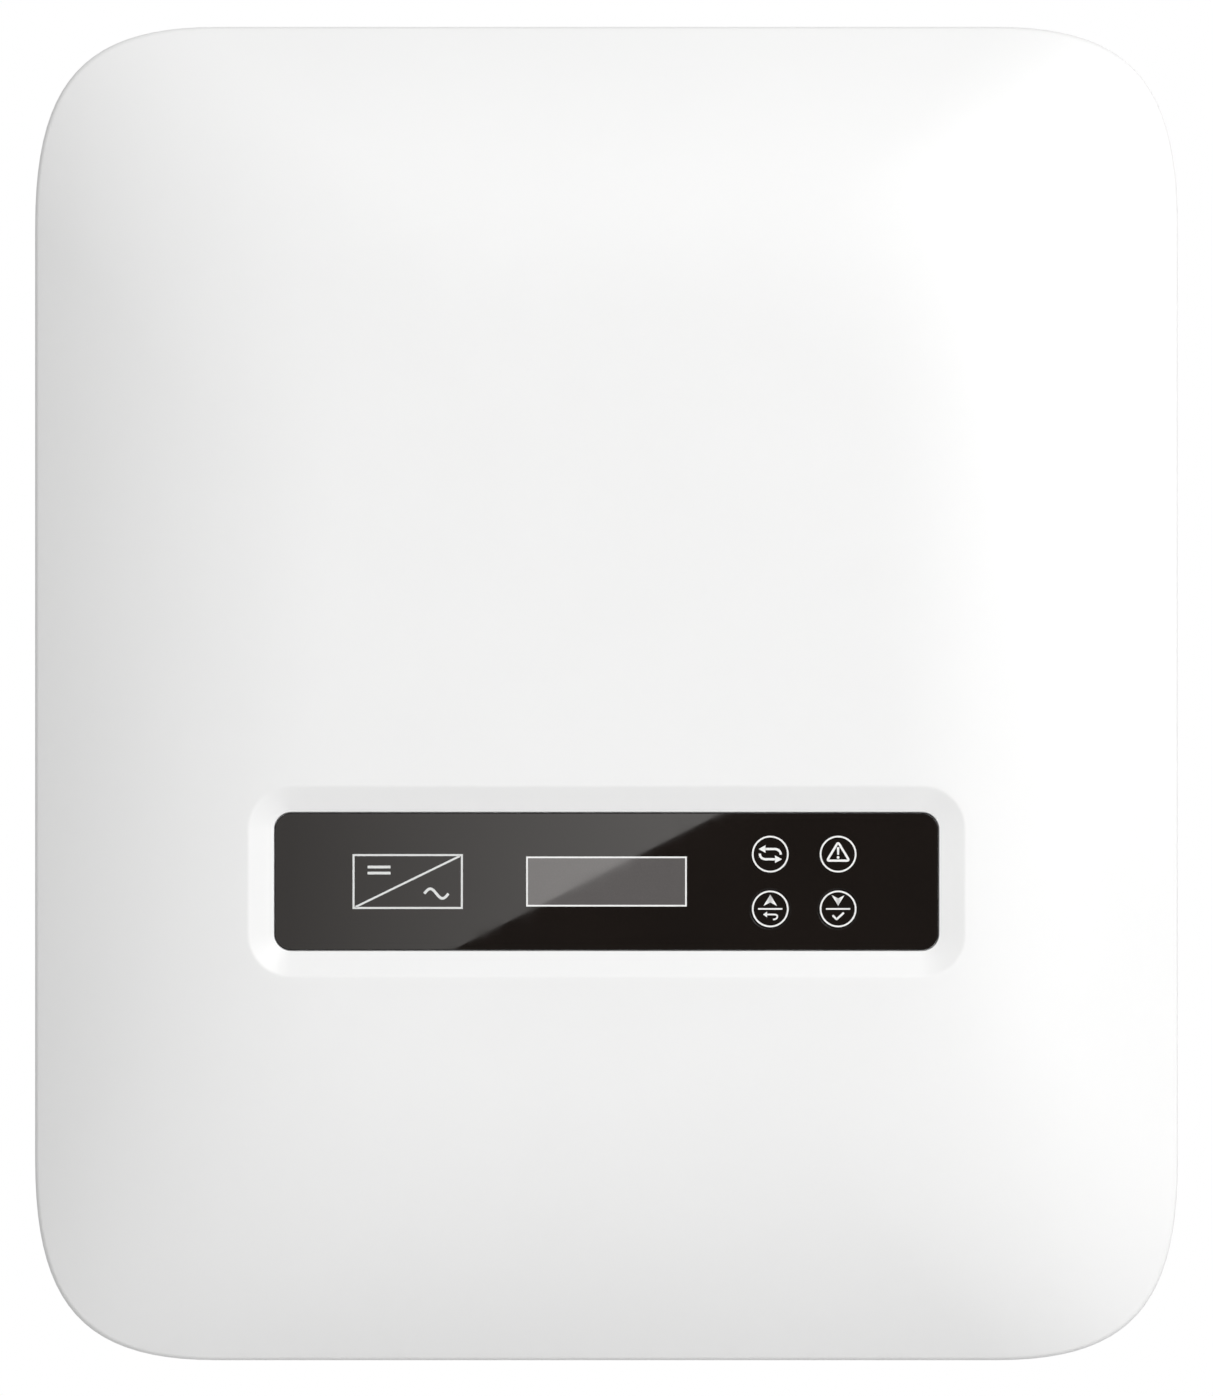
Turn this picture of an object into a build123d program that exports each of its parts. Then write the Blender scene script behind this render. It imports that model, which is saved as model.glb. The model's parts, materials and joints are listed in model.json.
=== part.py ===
"""A wall-hung single-phase solar string inverter, in millimetres.

The origin is on the wall, at the middle of the bracket's four fixing holes. +X is to the right and +Z is up
for someone facing the inverter, whose front looks along -Y. Most places are given as a depth, which is the
distance from the wall towards the front, so a depth of 50 is Y = -50.

A steel wall bracket carries a die-cast chassis tub with a finned heat sink on its back. A pillow-shaped front
cover closes the tub, and its skirt hides the sockets and the isolator on the tub's underside.
"""

from build123d import *
import os

# ---------------------------------------------------------------- driving sizes
# front cover
cover_width = 360.0
cover_height = 420.0
cover_wall = 2.8
cover_skirt = 35.0  # straight side wall, front to back
cover_crown = 25.0  # rise of the pillow above the side wall
crown_margin = 95.0  # width of the rolled border around the flat middle
crown_power = 2.35  # how the border eases into the flat middle
cover_edge_radius = 2.5
corner_run_x = 57.0  # how far a corner curve reaches along the top edge
corner_run_z = 63.0  # how far it reaches down the side
corner_fullness = 0.73  # handle length of the corner curve, as a share of its run

# chassis tub
side_gap = 30.0  # from the cover's outline to the tub
top_gap = 25.0
bottom_gap = 45.0
chassis_wall = 3.0
chassis_inner_depth = 64.0
chassis_corner = 12.0
flange_width = 14.0
flange_thickness = 3.0
flange_corner = 20.0
seal_thickness = 1.5
cover_reach = 32.0  # from the tub's front to the front of the cover
rib_width = 4.5

# heat sink
fin_height = 30.0
fin_thickness = 2.0
fin_pitch = 10.0
fin_seat = 1.5  # how deep a fin sits in its groove
base_thickness = 6.0
base_side_margin = 10.0
base_end_margin = 12.0
base_seal = 1.0
opening_side_margin = 25.0
opening_end_margin = 10.0
rib_bar_width = 12.0  # the two thick ribs that carry the hanger rail
rib_bar_gap = 2.0  # least room between a thick rib and the fin beside it
rib_bar_x = 105.0
spacer_radius = 8.0
spacer_rise = 32.0  # of the wall spacers above the foot of the heat sink

# wall bracket and hanger
wall_gap = 14.0  # from the wall to the fin tips
bracket_thickness = 2.5
bracket_width = 250.0
bracket_top = 76.0
bracket_bottom = -76.0
bracket_corner = 8.0
fixing_spacing_x = 200.0
fixing_spacing_z = 100.0
fixing_radius = 4.0
window_side = 60.0  # the bracket's window is that much narrower than the spacing of its holes
window_end = 30.0
hook_x = 68.0
hook_width = 50.0
hook_rise = 16.0
hanger_thickness = 2.5
hanger_length = 250.0
hook_gap = 1.0  # between the hook's tongue and the hanger's two legs
hanger_head_room = 9.0  # above the tongue's tip

# fasteners
cover_screw_radius = 2.0
large_screw_radius = 2.5
small_screw_radius = 1.5
screw_gap = 0.25  # radial clearance of a screw in a plain hole
thread_gap = 0.06  # radial clearance of a screw in its thread's hole
hole_bottom = 1.0  # how far a threaded hole runs past its screw's tip
hanger_bite = 14.0  # length of screw in the thread
spacer_bite = 10.0
cover_screw_bite = 9.0
display_screw_bite = 3.5
board_screw_bite = 7.0

# display
panel_z = -59.0
panel_width = 208.0
panel_height = 42.8
panel_corner = 5.0
panel_thickness = 2.0
panel_gap = 0.3
recess_depth = 3.0
recess_border = 8.0
recess_corner = 13.0
cut_clear = 1.0  # how far a cut starts in front of the surface it opens
recess_end_flare = 6.0  # the ends start lower on the crown, so their slope is gentler
ledge_width = 4.0
ledge_thickness = 2.5
window_seal_thickness = 0.5
pocket_wall = 3.5
key_radius = 6.2
key_gap = 0.15
key_flange_reach = 1.2  # how far the flange runs past the key's edge, behind the window
key_flange_thickness = 1.0
key_travel = 0.6
key_x = (51.4, 72.7)  # the two columns of icons, from the panel's middle
key_rise = 8.6  # the two rows, above and below the panel's middle
lcd_width = 50.4
lcd_height = 15.7
lcd_frame_width = 64.0
lcd_frame_height = 27.0
lcd_depth = 7.0

# electronics
board_thickness = 1.6
board_side_gap = 5.0
board_standoff = 12.0
wiring_height = 70.0
inductor_height = 84.0
control_width = 150.0
control_height = 70.0
control_gap = 20.7  # from the control board's front to the display board's back
display_board_side = 1.5  # how far the display board stays inside the panel's ends
display_board_rise = 3.6  # how far it reaches past the panel above and below
capacitor_radius = 12.5
capacitor_height = 40.0
toroid_radius = 28.0
toroid_bore = 14.0
toroid_height = 24.0
lead_radius = 2.2

# underside fittings: name and the width that each takes in the row, left to right
underside_row = (
    ("dc_switch", 38.0),
    ("pv_1", 20.0),
    ("pv_2", 20.0),
    ("pv_3", 20.0),
    ("pv_4", 20.0),
    ("vent", 18.0),
    ("com", 27.0),
    ("ac", 40.0),
    ("earth", 12.0),
)
underside_margin = 6.0
row_from_floor = 16.5  # the sockets' axes stand this far in front of the tub's floor

# ---------------------------------------------------------------- derived places
fin_tip_depth = wall_gap
base_back_depth = fin_tip_depth + fin_height
base_front_depth = base_back_depth + base_thickness
chassis_back_depth = base_front_depth + base_seal
floor_depth = chassis_back_depth + chassis_wall
chassis_front_depth = floor_depth + chassis_inner_depth
flange_back_depth = chassis_front_depth - flange_thickness
cover_front_depth = chassis_front_depth + cover_reach
cover_shoulder_depth = cover_front_depth - cover_crown
cover_rim_depth = cover_shoulder_depth - cover_skirt

chassis_width = cover_width - 2 * side_gap
chassis_top = cover_height / 2 - top_gap
chassis_bottom = bottom_gap - cover_height / 2
chassis_height = chassis_top - chassis_bottom
chassis_middle = (chassis_top + chassis_bottom) / 2
inside_half = chassis_width / 2 - chassis_wall
inside_top = chassis_top - chassis_wall
inside_bottom = chassis_bottom + chassis_wall
row_depth = floor_depth + row_from_floor

board_bottom = inside_bottom + wiring_height
board_top = inside_top - inductor_height
board_height = board_top - board_bottom
board_middle = (board_top + board_bottom) / 2
board_width = 2 * (inside_half - board_side_gap)
board_back_depth = floor_depth + board_standoff
board_front_depth = board_back_depth + board_thickness
control_bottom = board_bottom + 3.0
control_middle = control_bottom + control_height / 2

base_width = chassis_width - 2 * base_side_margin
base_top = chassis_top - base_end_margin
base_bottom = chassis_bottom + base_end_margin
opening_half = inside_half - opening_side_margin
opening_top = board_top - opening_end_margin
opening_bottom = board_bottom + opening_end_margin

panel_front_depth = cover_front_depth - recess_depth
panel_back_depth = panel_front_depth - panel_thickness
ledge_front_depth = panel_back_depth - window_seal_thickness
ledge_back_depth = ledge_front_depth - ledge_thickness
display_front_depth = ledge_front_depth - lcd_depth
display_back_depth = display_front_depth - board_thickness
display_board_width = panel_width - 2 * display_board_side
display_board_height = panel_height + 2 * display_board_rise
control_front_depth = display_back_depth - control_gap
control_back_depth = control_front_depth - board_thickness
control_standoff = control_back_depth - board_front_depth

screw_post_radius = 3.5
post_x = board_width / 2 - 6.0
post_heights = (board_bottom + 6.0, board_middle, board_top - 6.0)
sink_screw_x = opening_half + 11.0
sink_screw_heights = (
    board_bottom - 12.0,
    (post_heights[0] + post_heights[1]) / 2,
    (post_heights[1] + post_heights[2]) / 2,
    board_top + 12.0,
)


# ---------------------------------------------------------------- helpers
def at_depth(depth):
    """The plane parallel to the wall at that depth, facing the front."""
    return Plane.XZ.offset(depth)


def facing_down(height):
    """The level plane at that height, facing down. Its coordinates are x and depth."""
    return Plane(origin=(0, 0, height), x_dir=(1, 0, 0), z_dir=(0, 0, -1))


def block(x_span, depth_span, z_span, mode=Mode.ADD):
    """A box between two values of x, of depth and of z."""
    (x_low, x_high), (back, front), (low, high) = x_span, depth_span, z_span
    with Locations(((x_low + x_high) / 2, -(back + front) / 2, (low + high) / 2)):
        return Box(x_high - x_low, front - back, high - low, mode=mode)


def rod(x, z, radius, depth_span, mode=Mode.ADD):
    """A round rod that points at the wall, between two depths."""
    back, front = depth_span
    with Locations(Location((x, -(back + front) / 2, z), (90, 0, 0))):
        return Cylinder(radius, front - back, mode=mode)


def post(x, depth, radius, z_span, mode=Mode.ADD):
    """An upright round rod between two heights."""
    low, high = z_span
    with Locations((x, -depth, (low + high) / 2)):
        return Cylinder(radius, high - low, mode=mode)


def around(middle, size):
    """The span of that size about a middle."""
    return middle - size / 2, middle + size / 2


def spread(count, width):
    """That many places, evenly spaced about zero, each with the same share of the width."""
    return [width * ((i + 0.5) / count - 0.5) for i in range(count)]


def write(builder, name):
    """Labels a finished piece and writes its STEP file."""
    builder.part.label = name
    export_step(builder.part, f"parts/{name}.step")


def to_front(x, depth, z):
    """A place whose own +Z points to the front."""
    return Location((x, -depth, z), (90, 0, 0))


def to_wall(x, depth, z):
    """A place whose own +Z points to the wall."""
    return Location((x, -depth, z), (-90, 0, 0))


def downwards(x, depth, z):
    """A place whose own +Z points down."""
    return Location((x, -depth, z), (180, 0, 0))


def cap_screw(place, radius, length):
    """A hex-socket screw. Its head stands on the place, along the place's +Z, and its shank points the other way."""
    head_height = 1.6 * radius
    with Locations(place):
        Cylinder(radius, length, align=(Align.CENTER, Align.CENTER, Align.MAX))
        Cylinder(1.75 * radius, head_height, align=(Align.CENTER, Align.CENTER, Align.MIN))
    with BuildSketch(Plane(place).offset(head_height)) as socket:
        RegularPolygon(0.85 * radius, 6)
    extrude(socket.sketch, amount=-radius, mode=Mode.SUBTRACT)


def lead(points, corner, radius):
    """A round wire along straight runs joined by arcs. Points are x, depth and z."""
    with BuildLine() as route:
        FilletPolyline(*[(x, -depth, z) for x, depth, z in points], radius=corner)
    with BuildSketch(Plane(route.line @ 0, z_dir=route.line % 0)) as section:
        Circle(radius)
    sweep(section.sketch, path=route.line)


os.makedirs("parts", exist_ok=True)

underside_width = chassis_width - 2 * underside_margin
underside_space = (underside_width - sum(width for _, width in underside_row)) / (len(underside_row) + 1)
row_x = {}
reached = -underside_width / 2
for fitting, width in underside_row:
    row_x[fitting] = reached + underside_space + width / 2
    reached += underside_space + width
pv_names = ("pv_1", "pv_2", "pv_3", "pv_4")

# ================================================================ wall bracket
with BuildPart() as wall_bracket:
    bracket_middle = (bracket_top + bracket_bottom) / 2
    with BuildSketch(at_depth(0)):
        with Locations((0, bracket_middle)):
            RectangleRounded(bracket_width, bracket_top - bracket_bottom, bracket_corner)
            RectangleRounded(fixing_spacing_x - window_side, fixing_spacing_z - window_end, bracket_corner,
                             mode=Mode.SUBTRACT)
        with GridLocations(fixing_spacing_x, fixing_spacing_z, 2, 2):
            Circle(fixing_radius, mode=Mode.SUBTRACT)
    extrude(amount=bracket_thickness)
    tongue_back = bracket_thickness + hook_gap + hanger_thickness + hook_gap
    tongue_front = tongue_back + bracket_thickness
    for side in (-1, 1):
        hook_span = around(side * hook_x, hook_width)
        ledge_span = (bracket_top - bracket_thickness, bracket_top)
        block(hook_span, (0, tongue_front), ledge_span)
        block(hook_span, (tongue_back, tongue_front), (ledge_span[0], bracket_top + hook_rise))
    stiffener = around(0, bracket_width - 4 * bracket_corner)
    block(stiffener, (0, tongue_front), (bracket_bottom, bracket_bottom + bracket_thickness))
    tips = wall_bracket.edges().filter_by(Axis.Y).group_by(Axis.Z)[-1]
    fillet(tips, 4.0)
write(wall_bracket, "wall_bracket")

# ================================================================ hanger rail
lip_back = bracket_thickness + hook_gap
hanger_top = bracket_top + hook_rise + hanger_head_room
hanger_foot = bracket_top - 6.0
hanger_screw_heights = [hanger_foot + rise * (hanger_top - hanger_foot) for rise in (0.2, 0.75)]
with BuildPart() as hanger_rail:
    across = around(0, hanger_length)
    block(across, (fin_tip_depth - hanger_thickness, fin_tip_depth), (hanger_foot, hanger_top))
    block(across, (lip_back, fin_tip_depth), (hanger_top - hanger_thickness, hanger_top))
    block(across, (lip_back, lip_back + hanger_thickness), (bracket_top, hanger_top))
    corner_edges = hanger_rail.edges().filter_by(Axis.X).group_by(Axis.Z)[-1]
    fillet(corner_edges, 2.0)
    for side in (-1, 1):
        for z in hanger_screw_heights:
            rod(side * rib_bar_x, z, large_screw_radius + screw_gap,
                (fin_tip_depth - hanger_thickness, fin_tip_depth), Mode.SUBTRACT)
write(hanger_rail, "hanger_rail")

with BuildPart() as hanger_screws:
    for side in (-1, 1):
        for z in hanger_screw_heights:
            cap_screw(to_wall(side * rib_bar_x, fin_tip_depth - hanger_thickness, z), large_screw_radius,
                      hanger_thickness + hanger_bite)
write(hanger_screws, "hanger_screws")

# ================================================================ heat sink
spacer_z = base_bottom + spacer_rise
with BuildPart() as heat_sink_base:
    base_middle = (base_top + base_bottom) / 2
    with BuildSketch(at_depth(base_back_depth)):
        with Locations((0, base_middle)):
            RectangleRounded(base_width, base_top - base_bottom, 4.0)
    extrude(amount=base_thickness)
    for side in (-1, 1):
        block(around(side * rib_bar_x, rib_bar_width), (fin_tip_depth, base_back_depth), (base_bottom, base_top))
        for z in hanger_screw_heights:
            rod(side * rib_bar_x, z, large_screw_radius + thread_gap,
                (fin_tip_depth, fin_tip_depth + hanger_bite + hole_bottom), Mode.SUBTRACT)
        rod(side * rib_bar_x, spacer_z, large_screw_radius + thread_gap,
            (fin_tip_depth, fin_tip_depth + spacer_bite + hole_bottom), Mode.SUBTRACT)
        for z in sink_screw_heights:
            rod(side * sink_screw_x, z, large_screw_radius + thread_gap,
                (base_back_depth + 1.0, base_front_depth), Mode.SUBTRACT)
    fin_count = int((base_width - fin_thickness - 4.0) // fin_pitch) + 1
    fin_row = [fin_pitch * (i - (fin_count - 1) / 2) for i in range(fin_count)]
    bar_reach = (rib_bar_width + fin_thickness) / 2 + rib_bar_gap
    fin_places = [x for x in fin_row if abs(abs(x) - rib_bar_x) > bar_reach]
    for x in fin_places:
        block(around(x, fin_thickness), (base_back_depth, base_back_depth + fin_seat), (base_bottom, base_top),
              Mode.SUBTRACT)
write(heat_sink_base, "heat_sink_base")

with BuildPart() as heat_sink_fins:
    for x in fin_places:
        block(around(x, fin_thickness), (fin_tip_depth, base_back_depth + fin_seat), (base_bottom, base_top))
write(heat_sink_fins, "heat_sink_fins")

with BuildPart() as heat_sink_seal:
    block((-opening_half - 5, opening_half + 5), (base_front_depth, chassis_back_depth),
          (opening_bottom - 5, opening_top + 5))
    block((-opening_half, opening_half), (base_front_depth, chassis_back_depth),
          (opening_bottom, opening_top), Mode.SUBTRACT)
write(heat_sink_seal, "heat_sink_seal")

with BuildPart() as heat_sink_screws:
    for side in (-1, 1):
        for z in sink_screw_heights:
            cap_screw(to_front(side * sink_screw_x, floor_depth, z), large_screw_radius,
                      floor_depth - base_back_depth - 2.0)
write(heat_sink_screws, "heat_sink_screws")

with BuildPart() as wall_spacers:
    for side in (-1, 1):
        rod(side * rib_bar_x, spacer_z, spacer_radius, (0, fin_tip_depth))
        rod(side * rib_bar_x, spacer_z, large_screw_radius, (fin_tip_depth, fin_tip_depth + spacer_bite))
    fillet(wall_spacers.edges().filter_by(GeomType.CIRCLE).group_by(Axis.Y)[-1], 1.5)
write(wall_spacers, "wall_spacers")

# ================================================================ chassis tub
cover_screw_x = chassis_width / 2 + flange_width * 0.62
cover_screw_bottom = chassis_bottom - flange_width * 0.62
cover_screw_top = chassis_top + flange_width * 0.62
cover_screw_places = [(side * cover_screw_x, chassis_middle + share * chassis_height)
                      for side in (-1, 1) for share in (-0.36, 0, 0.36)]
cover_screw_places += [(share * chassis_width, z)
                       for z in (cover_screw_bottom, cover_screw_top) for share in (-0.3, 0.3)]
socket_hole = 6.15
vent_hole = 6.15
shaft_radius = 4.0
com_hole = 8.0
ac_hole = 13.0
earth_radius = 2.5
hole_radius = {"dc_switch": shaft_radius + screw_gap, "vent": vent_hole, "com": com_hole, "ac": ac_hole,
               "earth": earth_radius + thread_gap} | {name: socket_hole for name in pv_names}
ac_screw_spacing = 30.0

with BuildPart() as chassis:
    with BuildSketch(at_depth(chassis_back_depth)):
        with Locations((0, chassis_middle)):
            RectangleRounded(chassis_width, chassis_height, chassis_corner)
    extrude(amount=chassis_front_depth - chassis_back_depth)
    with BuildSketch(at_depth(flange_back_depth)):
        with Locations((0, chassis_middle)):
            RectangleRounded(chassis_width + 2 * flange_width, chassis_height + 2 * flange_width, flange_corner)
    extrude(amount=flange_thickness)
    with BuildSketch(at_depth(floor_depth)):
        with Locations((0, chassis_middle)):
            RectangleRounded(2 * inside_half, chassis_height - 2 * chassis_wall, chassis_corner - chassis_wall)
    extrude(amount=chassis_inner_depth, mode=Mode.SUBTRACT)
    back_edges = chassis.edges().filter_by(lambda e: abs(e.center().Y + chassis_back_depth) < 0.01)
    fillet(back_edges, 2.0)
    with BuildSketch(at_depth(chassis_back_depth)):
        with Locations((0, (opening_top + opening_bottom) / 2)):
            Rectangle(2 * opening_half, opening_top - opening_bottom)
    extrude(amount=chassis_wall, mode=Mode.SUBTRACT)
    for x, z in cover_screw_places:
        rod(x, z, cover_screw_radius + screw_gap, (flange_back_depth, chassis_front_depth), Mode.SUBTRACT)
    for side in (-1, 1):
        for z in sink_screw_heights:
            rod(side * sink_screw_x, z, large_screw_radius + screw_gap, (chassis_back_depth, floor_depth),
                Mode.SUBTRACT)
    with BuildSketch(facing_down(chassis_bottom)):
        for fitting, radius in hole_radius.items():
            with Locations((row_x[fitting], row_depth)):
                Circle(radius)
        with Locations((row_x["ac"], row_depth)):
            with GridLocations(ac_screw_spacing, ac_screw_spacing, 2, 2):
                Circle(small_screw_radius + thread_gap)
    extrude(amount=-chassis_wall, mode=Mode.SUBTRACT)
    # shallow ribs stiffen the side walls
    for side in (-1, 1):
        outer = side * chassis_width / 2
        for share in (-0.3, 0.0, 0.3):
            z = chassis_middle + share * chassis_height
            block(sorted((outer, outer + side * 3.0)), (chassis_back_depth + 6.0, flange_back_depth),
                  around(z + 18.0, 4.0))
write(chassis, "chassis")

with BuildPart() as cover_seal:
    seal_out = 3.5
    with BuildSketch(at_depth(chassis_front_depth)):
        with Locations((0, chassis_middle)):
            RectangleRounded(chassis_width + 2 * seal_out, chassis_height + 2 * seal_out, chassis_corner + seal_out)
            RectangleRounded(chassis_width - 1.0, chassis_height - 1.0, chassis_corner - 0.5, mode=Mode.SUBTRACT)
    extrude(amount=seal_thickness)
write(cover_seal, "cover_seal")

with BuildPart() as cover_screws:
    for x, z in cover_screw_places:
        cap_screw(to_wall(x, flange_back_depth, z), cover_screw_radius, flange_thickness + cover_screw_bite)
write(cover_screws, "cover_screws")


# ================================================================ front cover
def cover_outline(depth, inset):
    """The cover's outline, with full, squarish corner curves, at a depth and moved in by an inset."""
    half_x = cover_width / 2 - inset
    half_z = cover_height / 2 - inset
    flat_x = half_x - corner_run_x
    flat_z = half_z - corner_run_z
    handle_x = half_x - corner_run_x * (1 - corner_fullness)
    handle_z = half_z - corner_run_z * (1 - corner_fullness)
    with BuildSketch(at_depth(depth)) as outline:
        with BuildLine():
            Line((half_x, -flat_z), (half_x, flat_z))
            Bezier((half_x, flat_z), (half_x, handle_z), (handle_x, half_z), (flat_x, half_z))
            Line((flat_x, half_z), (-flat_x, half_z))
            Bezier((-flat_x, half_z), (-handle_x, half_z), (-half_x, handle_z), (-half_x, flat_z))
            Line((-half_x, flat_z), (-half_x, -flat_z))
            Bezier((-half_x, -flat_z), (-half_x, -handle_z), (-handle_x, -half_z), (-flat_x, -half_z))
            Line((-flat_x, -half_z), (flat_x, -half_z))
            Bezier((flat_x, -half_z), (handle_x, -half_z), (half_x, -handle_z), (half_x, -flat_z))
        make_face()
    return outline.sketch


def pillow_layers(inset, shift):
    """Outlines that climb the pillow: an inset skin, moved back by a shift, from the shoulder to the flat."""
    layers = []
    count = 9
    for i in range(count):
        way_in = crown_margin * (i / (count - 1)) ** 1.3
        drop = cover_crown * (1 - way_in / crown_margin) ** crown_power
        layers.append(cover_outline(cover_front_depth - shift - drop, inset + way_in))
    return layers


with BuildPart() as cover_cavity:
    loft(pillow_layers(cover_wall, cover_wall))
    extrude(cover_outline(cover_rim_depth, cover_wall), amount=cover_skirt - cover_wall)
    # what stands in the cavity: the rib that presses the seal, the screw bosses, the window's pocket and posts
    with BuildSketch(at_depth(chassis_front_depth + seal_thickness)):
        with Locations((0, chassis_middle)):
            RectangleRounded(chassis_width + rib_width, chassis_height + rib_width, chassis_corner + rib_width / 2)
            RectangleRounded(chassis_width - rib_width, chassis_height - rib_width, chassis_corner - rib_width / 2,
                             mode=Mode.SUBTRACT)
    extrude(amount=cover_reach, mode=Mode.SUBTRACT)
    for x, z in cover_screw_places:
        rod(x, z, cover_screw_radius + 2.6, (chassis_front_depth, cover_front_depth), Mode.SUBTRACT)
    pocket_x = panel_width / 2 + recess_border + pocket_wall
    pocket_z = panel_height / 2 + recess_border + pocket_wall
    block((-pocket_x, pocket_x), (ledge_back_depth, cover_front_depth), (panel_z - pocket_z, panel_z + pocket_z),
          Mode.SUBTRACT)
    display_posts = [(sx * (panel_width / 2 - 8.0), panel_z + sz * (display_board_height / 2 - 4.0))
                     for sx in (-1, 1) for sz in (-1, 1)]
    for x, z in display_posts:
        rod(x, z, 3.2, (display_front_depth, ledge_back_depth + 1.0), Mode.SUBTRACT)

with BuildPart() as front_cover:
    loft(pillow_layers(0, 0))
    extrude(cover_outline(cover_rim_depth, 0), amount=cover_skirt)
    shoulder = front_cover.edges().filter_by(
        lambda e: e.bounding_box().size.Y < 0.01 and abs(e.center().Y + cover_shoulder_depth) < 0.01)
    fillet(shoulder, cover_edge_radius)
    add(cover_cavity.part, mode=Mode.SUBTRACT)
    # the recess around the window: a sloped border down to the panel's edge
    with BuildSketch(at_depth(panel_front_depth)) as recess_floor:
        with Locations((0, panel_z)):
            RectangleRounded(panel_width + 2 * panel_gap, panel_height + 2 * panel_gap, panel_corner + panel_gap)
    rise = (recess_depth + cut_clear) / recess_depth
    with BuildSketch(at_depth(cover_front_depth + cut_clear)) as recess_mouth:
        with Locations((0, panel_z)):
            RectangleRounded(panel_width + 2 * (panel_gap + rise * (recess_border + recess_end_flare)),
                             panel_height + 2 * (panel_gap + rise * recess_border),
                             panel_corner + rise * (recess_corner - panel_corner))
    loft([recess_floor.sketch, recess_mouth.sketch], mode=Mode.SUBTRACT)
    extrude(recess_floor.sketch, amount=-(panel_front_depth - ledge_front_depth), mode=Mode.SUBTRACT)
    block((-panel_width / 2 + ledge_width, panel_width / 2 - ledge_width), (ledge_back_depth, ledge_front_depth),
          (panel_z - panel_height / 2 + ledge_width, panel_z + panel_height / 2 - ledge_width), Mode.SUBTRACT)
    for x, z in cover_screw_places:
        rod(x, z, cover_screw_radius + thread_gap,
            (chassis_front_depth, chassis_front_depth + cover_screw_bite + hole_bottom), Mode.SUBTRACT)
    for x, z in display_posts:
        rod(x, z, small_screw_radius + thread_gap,
            (display_front_depth, display_front_depth + display_screw_bite + hole_bottom), Mode.SUBTRACT)
write(front_cover, "front_cover")

# ================================================================ window and display
key_places = {"key_up": (key_x[0], panel_z - key_rise), "key_down": (key_x[1], panel_z - key_rise)}
lamp_places = [(x, panel_z + key_rise) for x in key_x]

with BuildPart() as display_window:
    with BuildSketch(at_depth(panel_back_depth)):
        with Locations((0, panel_z)):
            RectangleRounded(panel_width, panel_height, panel_corner)
        with Locations(*key_places.values()):
            Circle(key_radius + key_gap, mode=Mode.SUBTRACT)
    extrude(amount=panel_thickness)
write(display_window, "display_window")

with BuildPart() as window_seal:
    with BuildSketch(at_depth(ledge_front_depth)):
        with Locations((0, panel_z)):
            RectangleRounded(panel_width, panel_height, panel_corner)
            Rectangle(panel_width - 2 * ledge_width, panel_height - 2 * ledge_width, mode=Mode.SUBTRACT)
    extrude(amount=window_seal_thickness)
write(window_seal, "window_seal")

with BuildPart() as display_board:
    with BuildSketch(at_depth(display_back_depth)):
        with Locations((0, panel_z)):
            RectangleRounded(display_board_width, display_board_height, 3.0)
        with Locations(*display_posts):
            Circle(small_screw_radius + screw_gap, mode=Mode.SUBTRACT)
    extrude(amount=board_thickness)
write(display_board, "display_board")

lcd_glass_border = 1.5
lcd_glass_thickness = 2.5
lcd_lip = 1.0
lcd_front_depth = display_front_depth + lcd_depth - 1.0
glass_span = (lcd_front_depth - lcd_lip - lcd_glass_thickness, lcd_front_depth - lcd_lip)
with BuildPart() as lcd_frame:
    block(around(0, lcd_frame_width), (display_front_depth, lcd_front_depth), around(panel_z, lcd_frame_height))
    block(around(0, lcd_width), (glass_span[0], lcd_front_depth), around(panel_z, lcd_height), Mode.SUBTRACT)
    block(around(0, lcd_width + 2 * lcd_glass_border), glass_span,
          around(panel_z, lcd_height + 2 * lcd_glass_border), Mode.SUBTRACT)
write(lcd_frame, "lcd_frame")

with BuildPart() as lcd_glass:
    block(around(0, lcd_width + 2 * lcd_glass_border), glass_span, around(panel_z, lcd_height + 2 * lcd_glass_border))
write(lcd_glass, "lcd_glass")

led_size = 3.0
led_height = 1.5
light_pipe_radius = 2.5
with BuildPart() as indicator_lights:
    for x, z in lamp_places:
        block(around(x, led_size), (display_front_depth, display_front_depth + led_height), around(z, led_size))
        rod(x, z, light_pipe_radius, (display_front_depth + led_height, panel_back_depth))
write(indicator_lights, "indicator_lights")

switch_size = 6.2
switch_height = 4.0
plunger_radius = 1.7
plunger_gap = 0.3
plunger_depth = 1.0  # how far the plunger sits in its switch before it is pressed
with BuildPart() as key_switches:
    for x, z in key_places.values():
        block(around(x, switch_size), (display_front_depth, display_front_depth + switch_height),
              around(z, switch_size))
        rod(x, z, plunger_radius + plunger_gap,
            (display_front_depth + switch_height - plunger_depth - key_travel - plunger_gap,
             display_front_depth + switch_height), Mode.SUBTRACT)
write(key_switches, "key_switches")

for name, (x, z) in key_places.items():
    with BuildPart() as key:
        rod(x, z, key_radius, (panel_back_depth, panel_front_depth))
        rod(x, z, key_radius + key_flange_reach, (panel_back_depth - key_flange_thickness, panel_back_depth))
        rod(x, z, plunger_radius, (display_front_depth + switch_height - plunger_depth,
                                   panel_back_depth - key_flange_thickness))
    write(key, name)

# ================================================================ main board and what stands on it
post_places = [(side * post_x, z) for side in (-1, 1) for z in post_heights]
with BuildPart() as main_board:
    with BuildSketch(at_depth(board_back_depth)):
        with Locations((0, board_middle)):
            RectangleRounded(board_width, board_height, 4.0)
        with Locations(*post_places):
            Circle(small_screw_radius + screw_gap, mode=Mode.SUBTRACT)
    extrude(amount=board_thickness)
write(main_board, "main_board")

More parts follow.
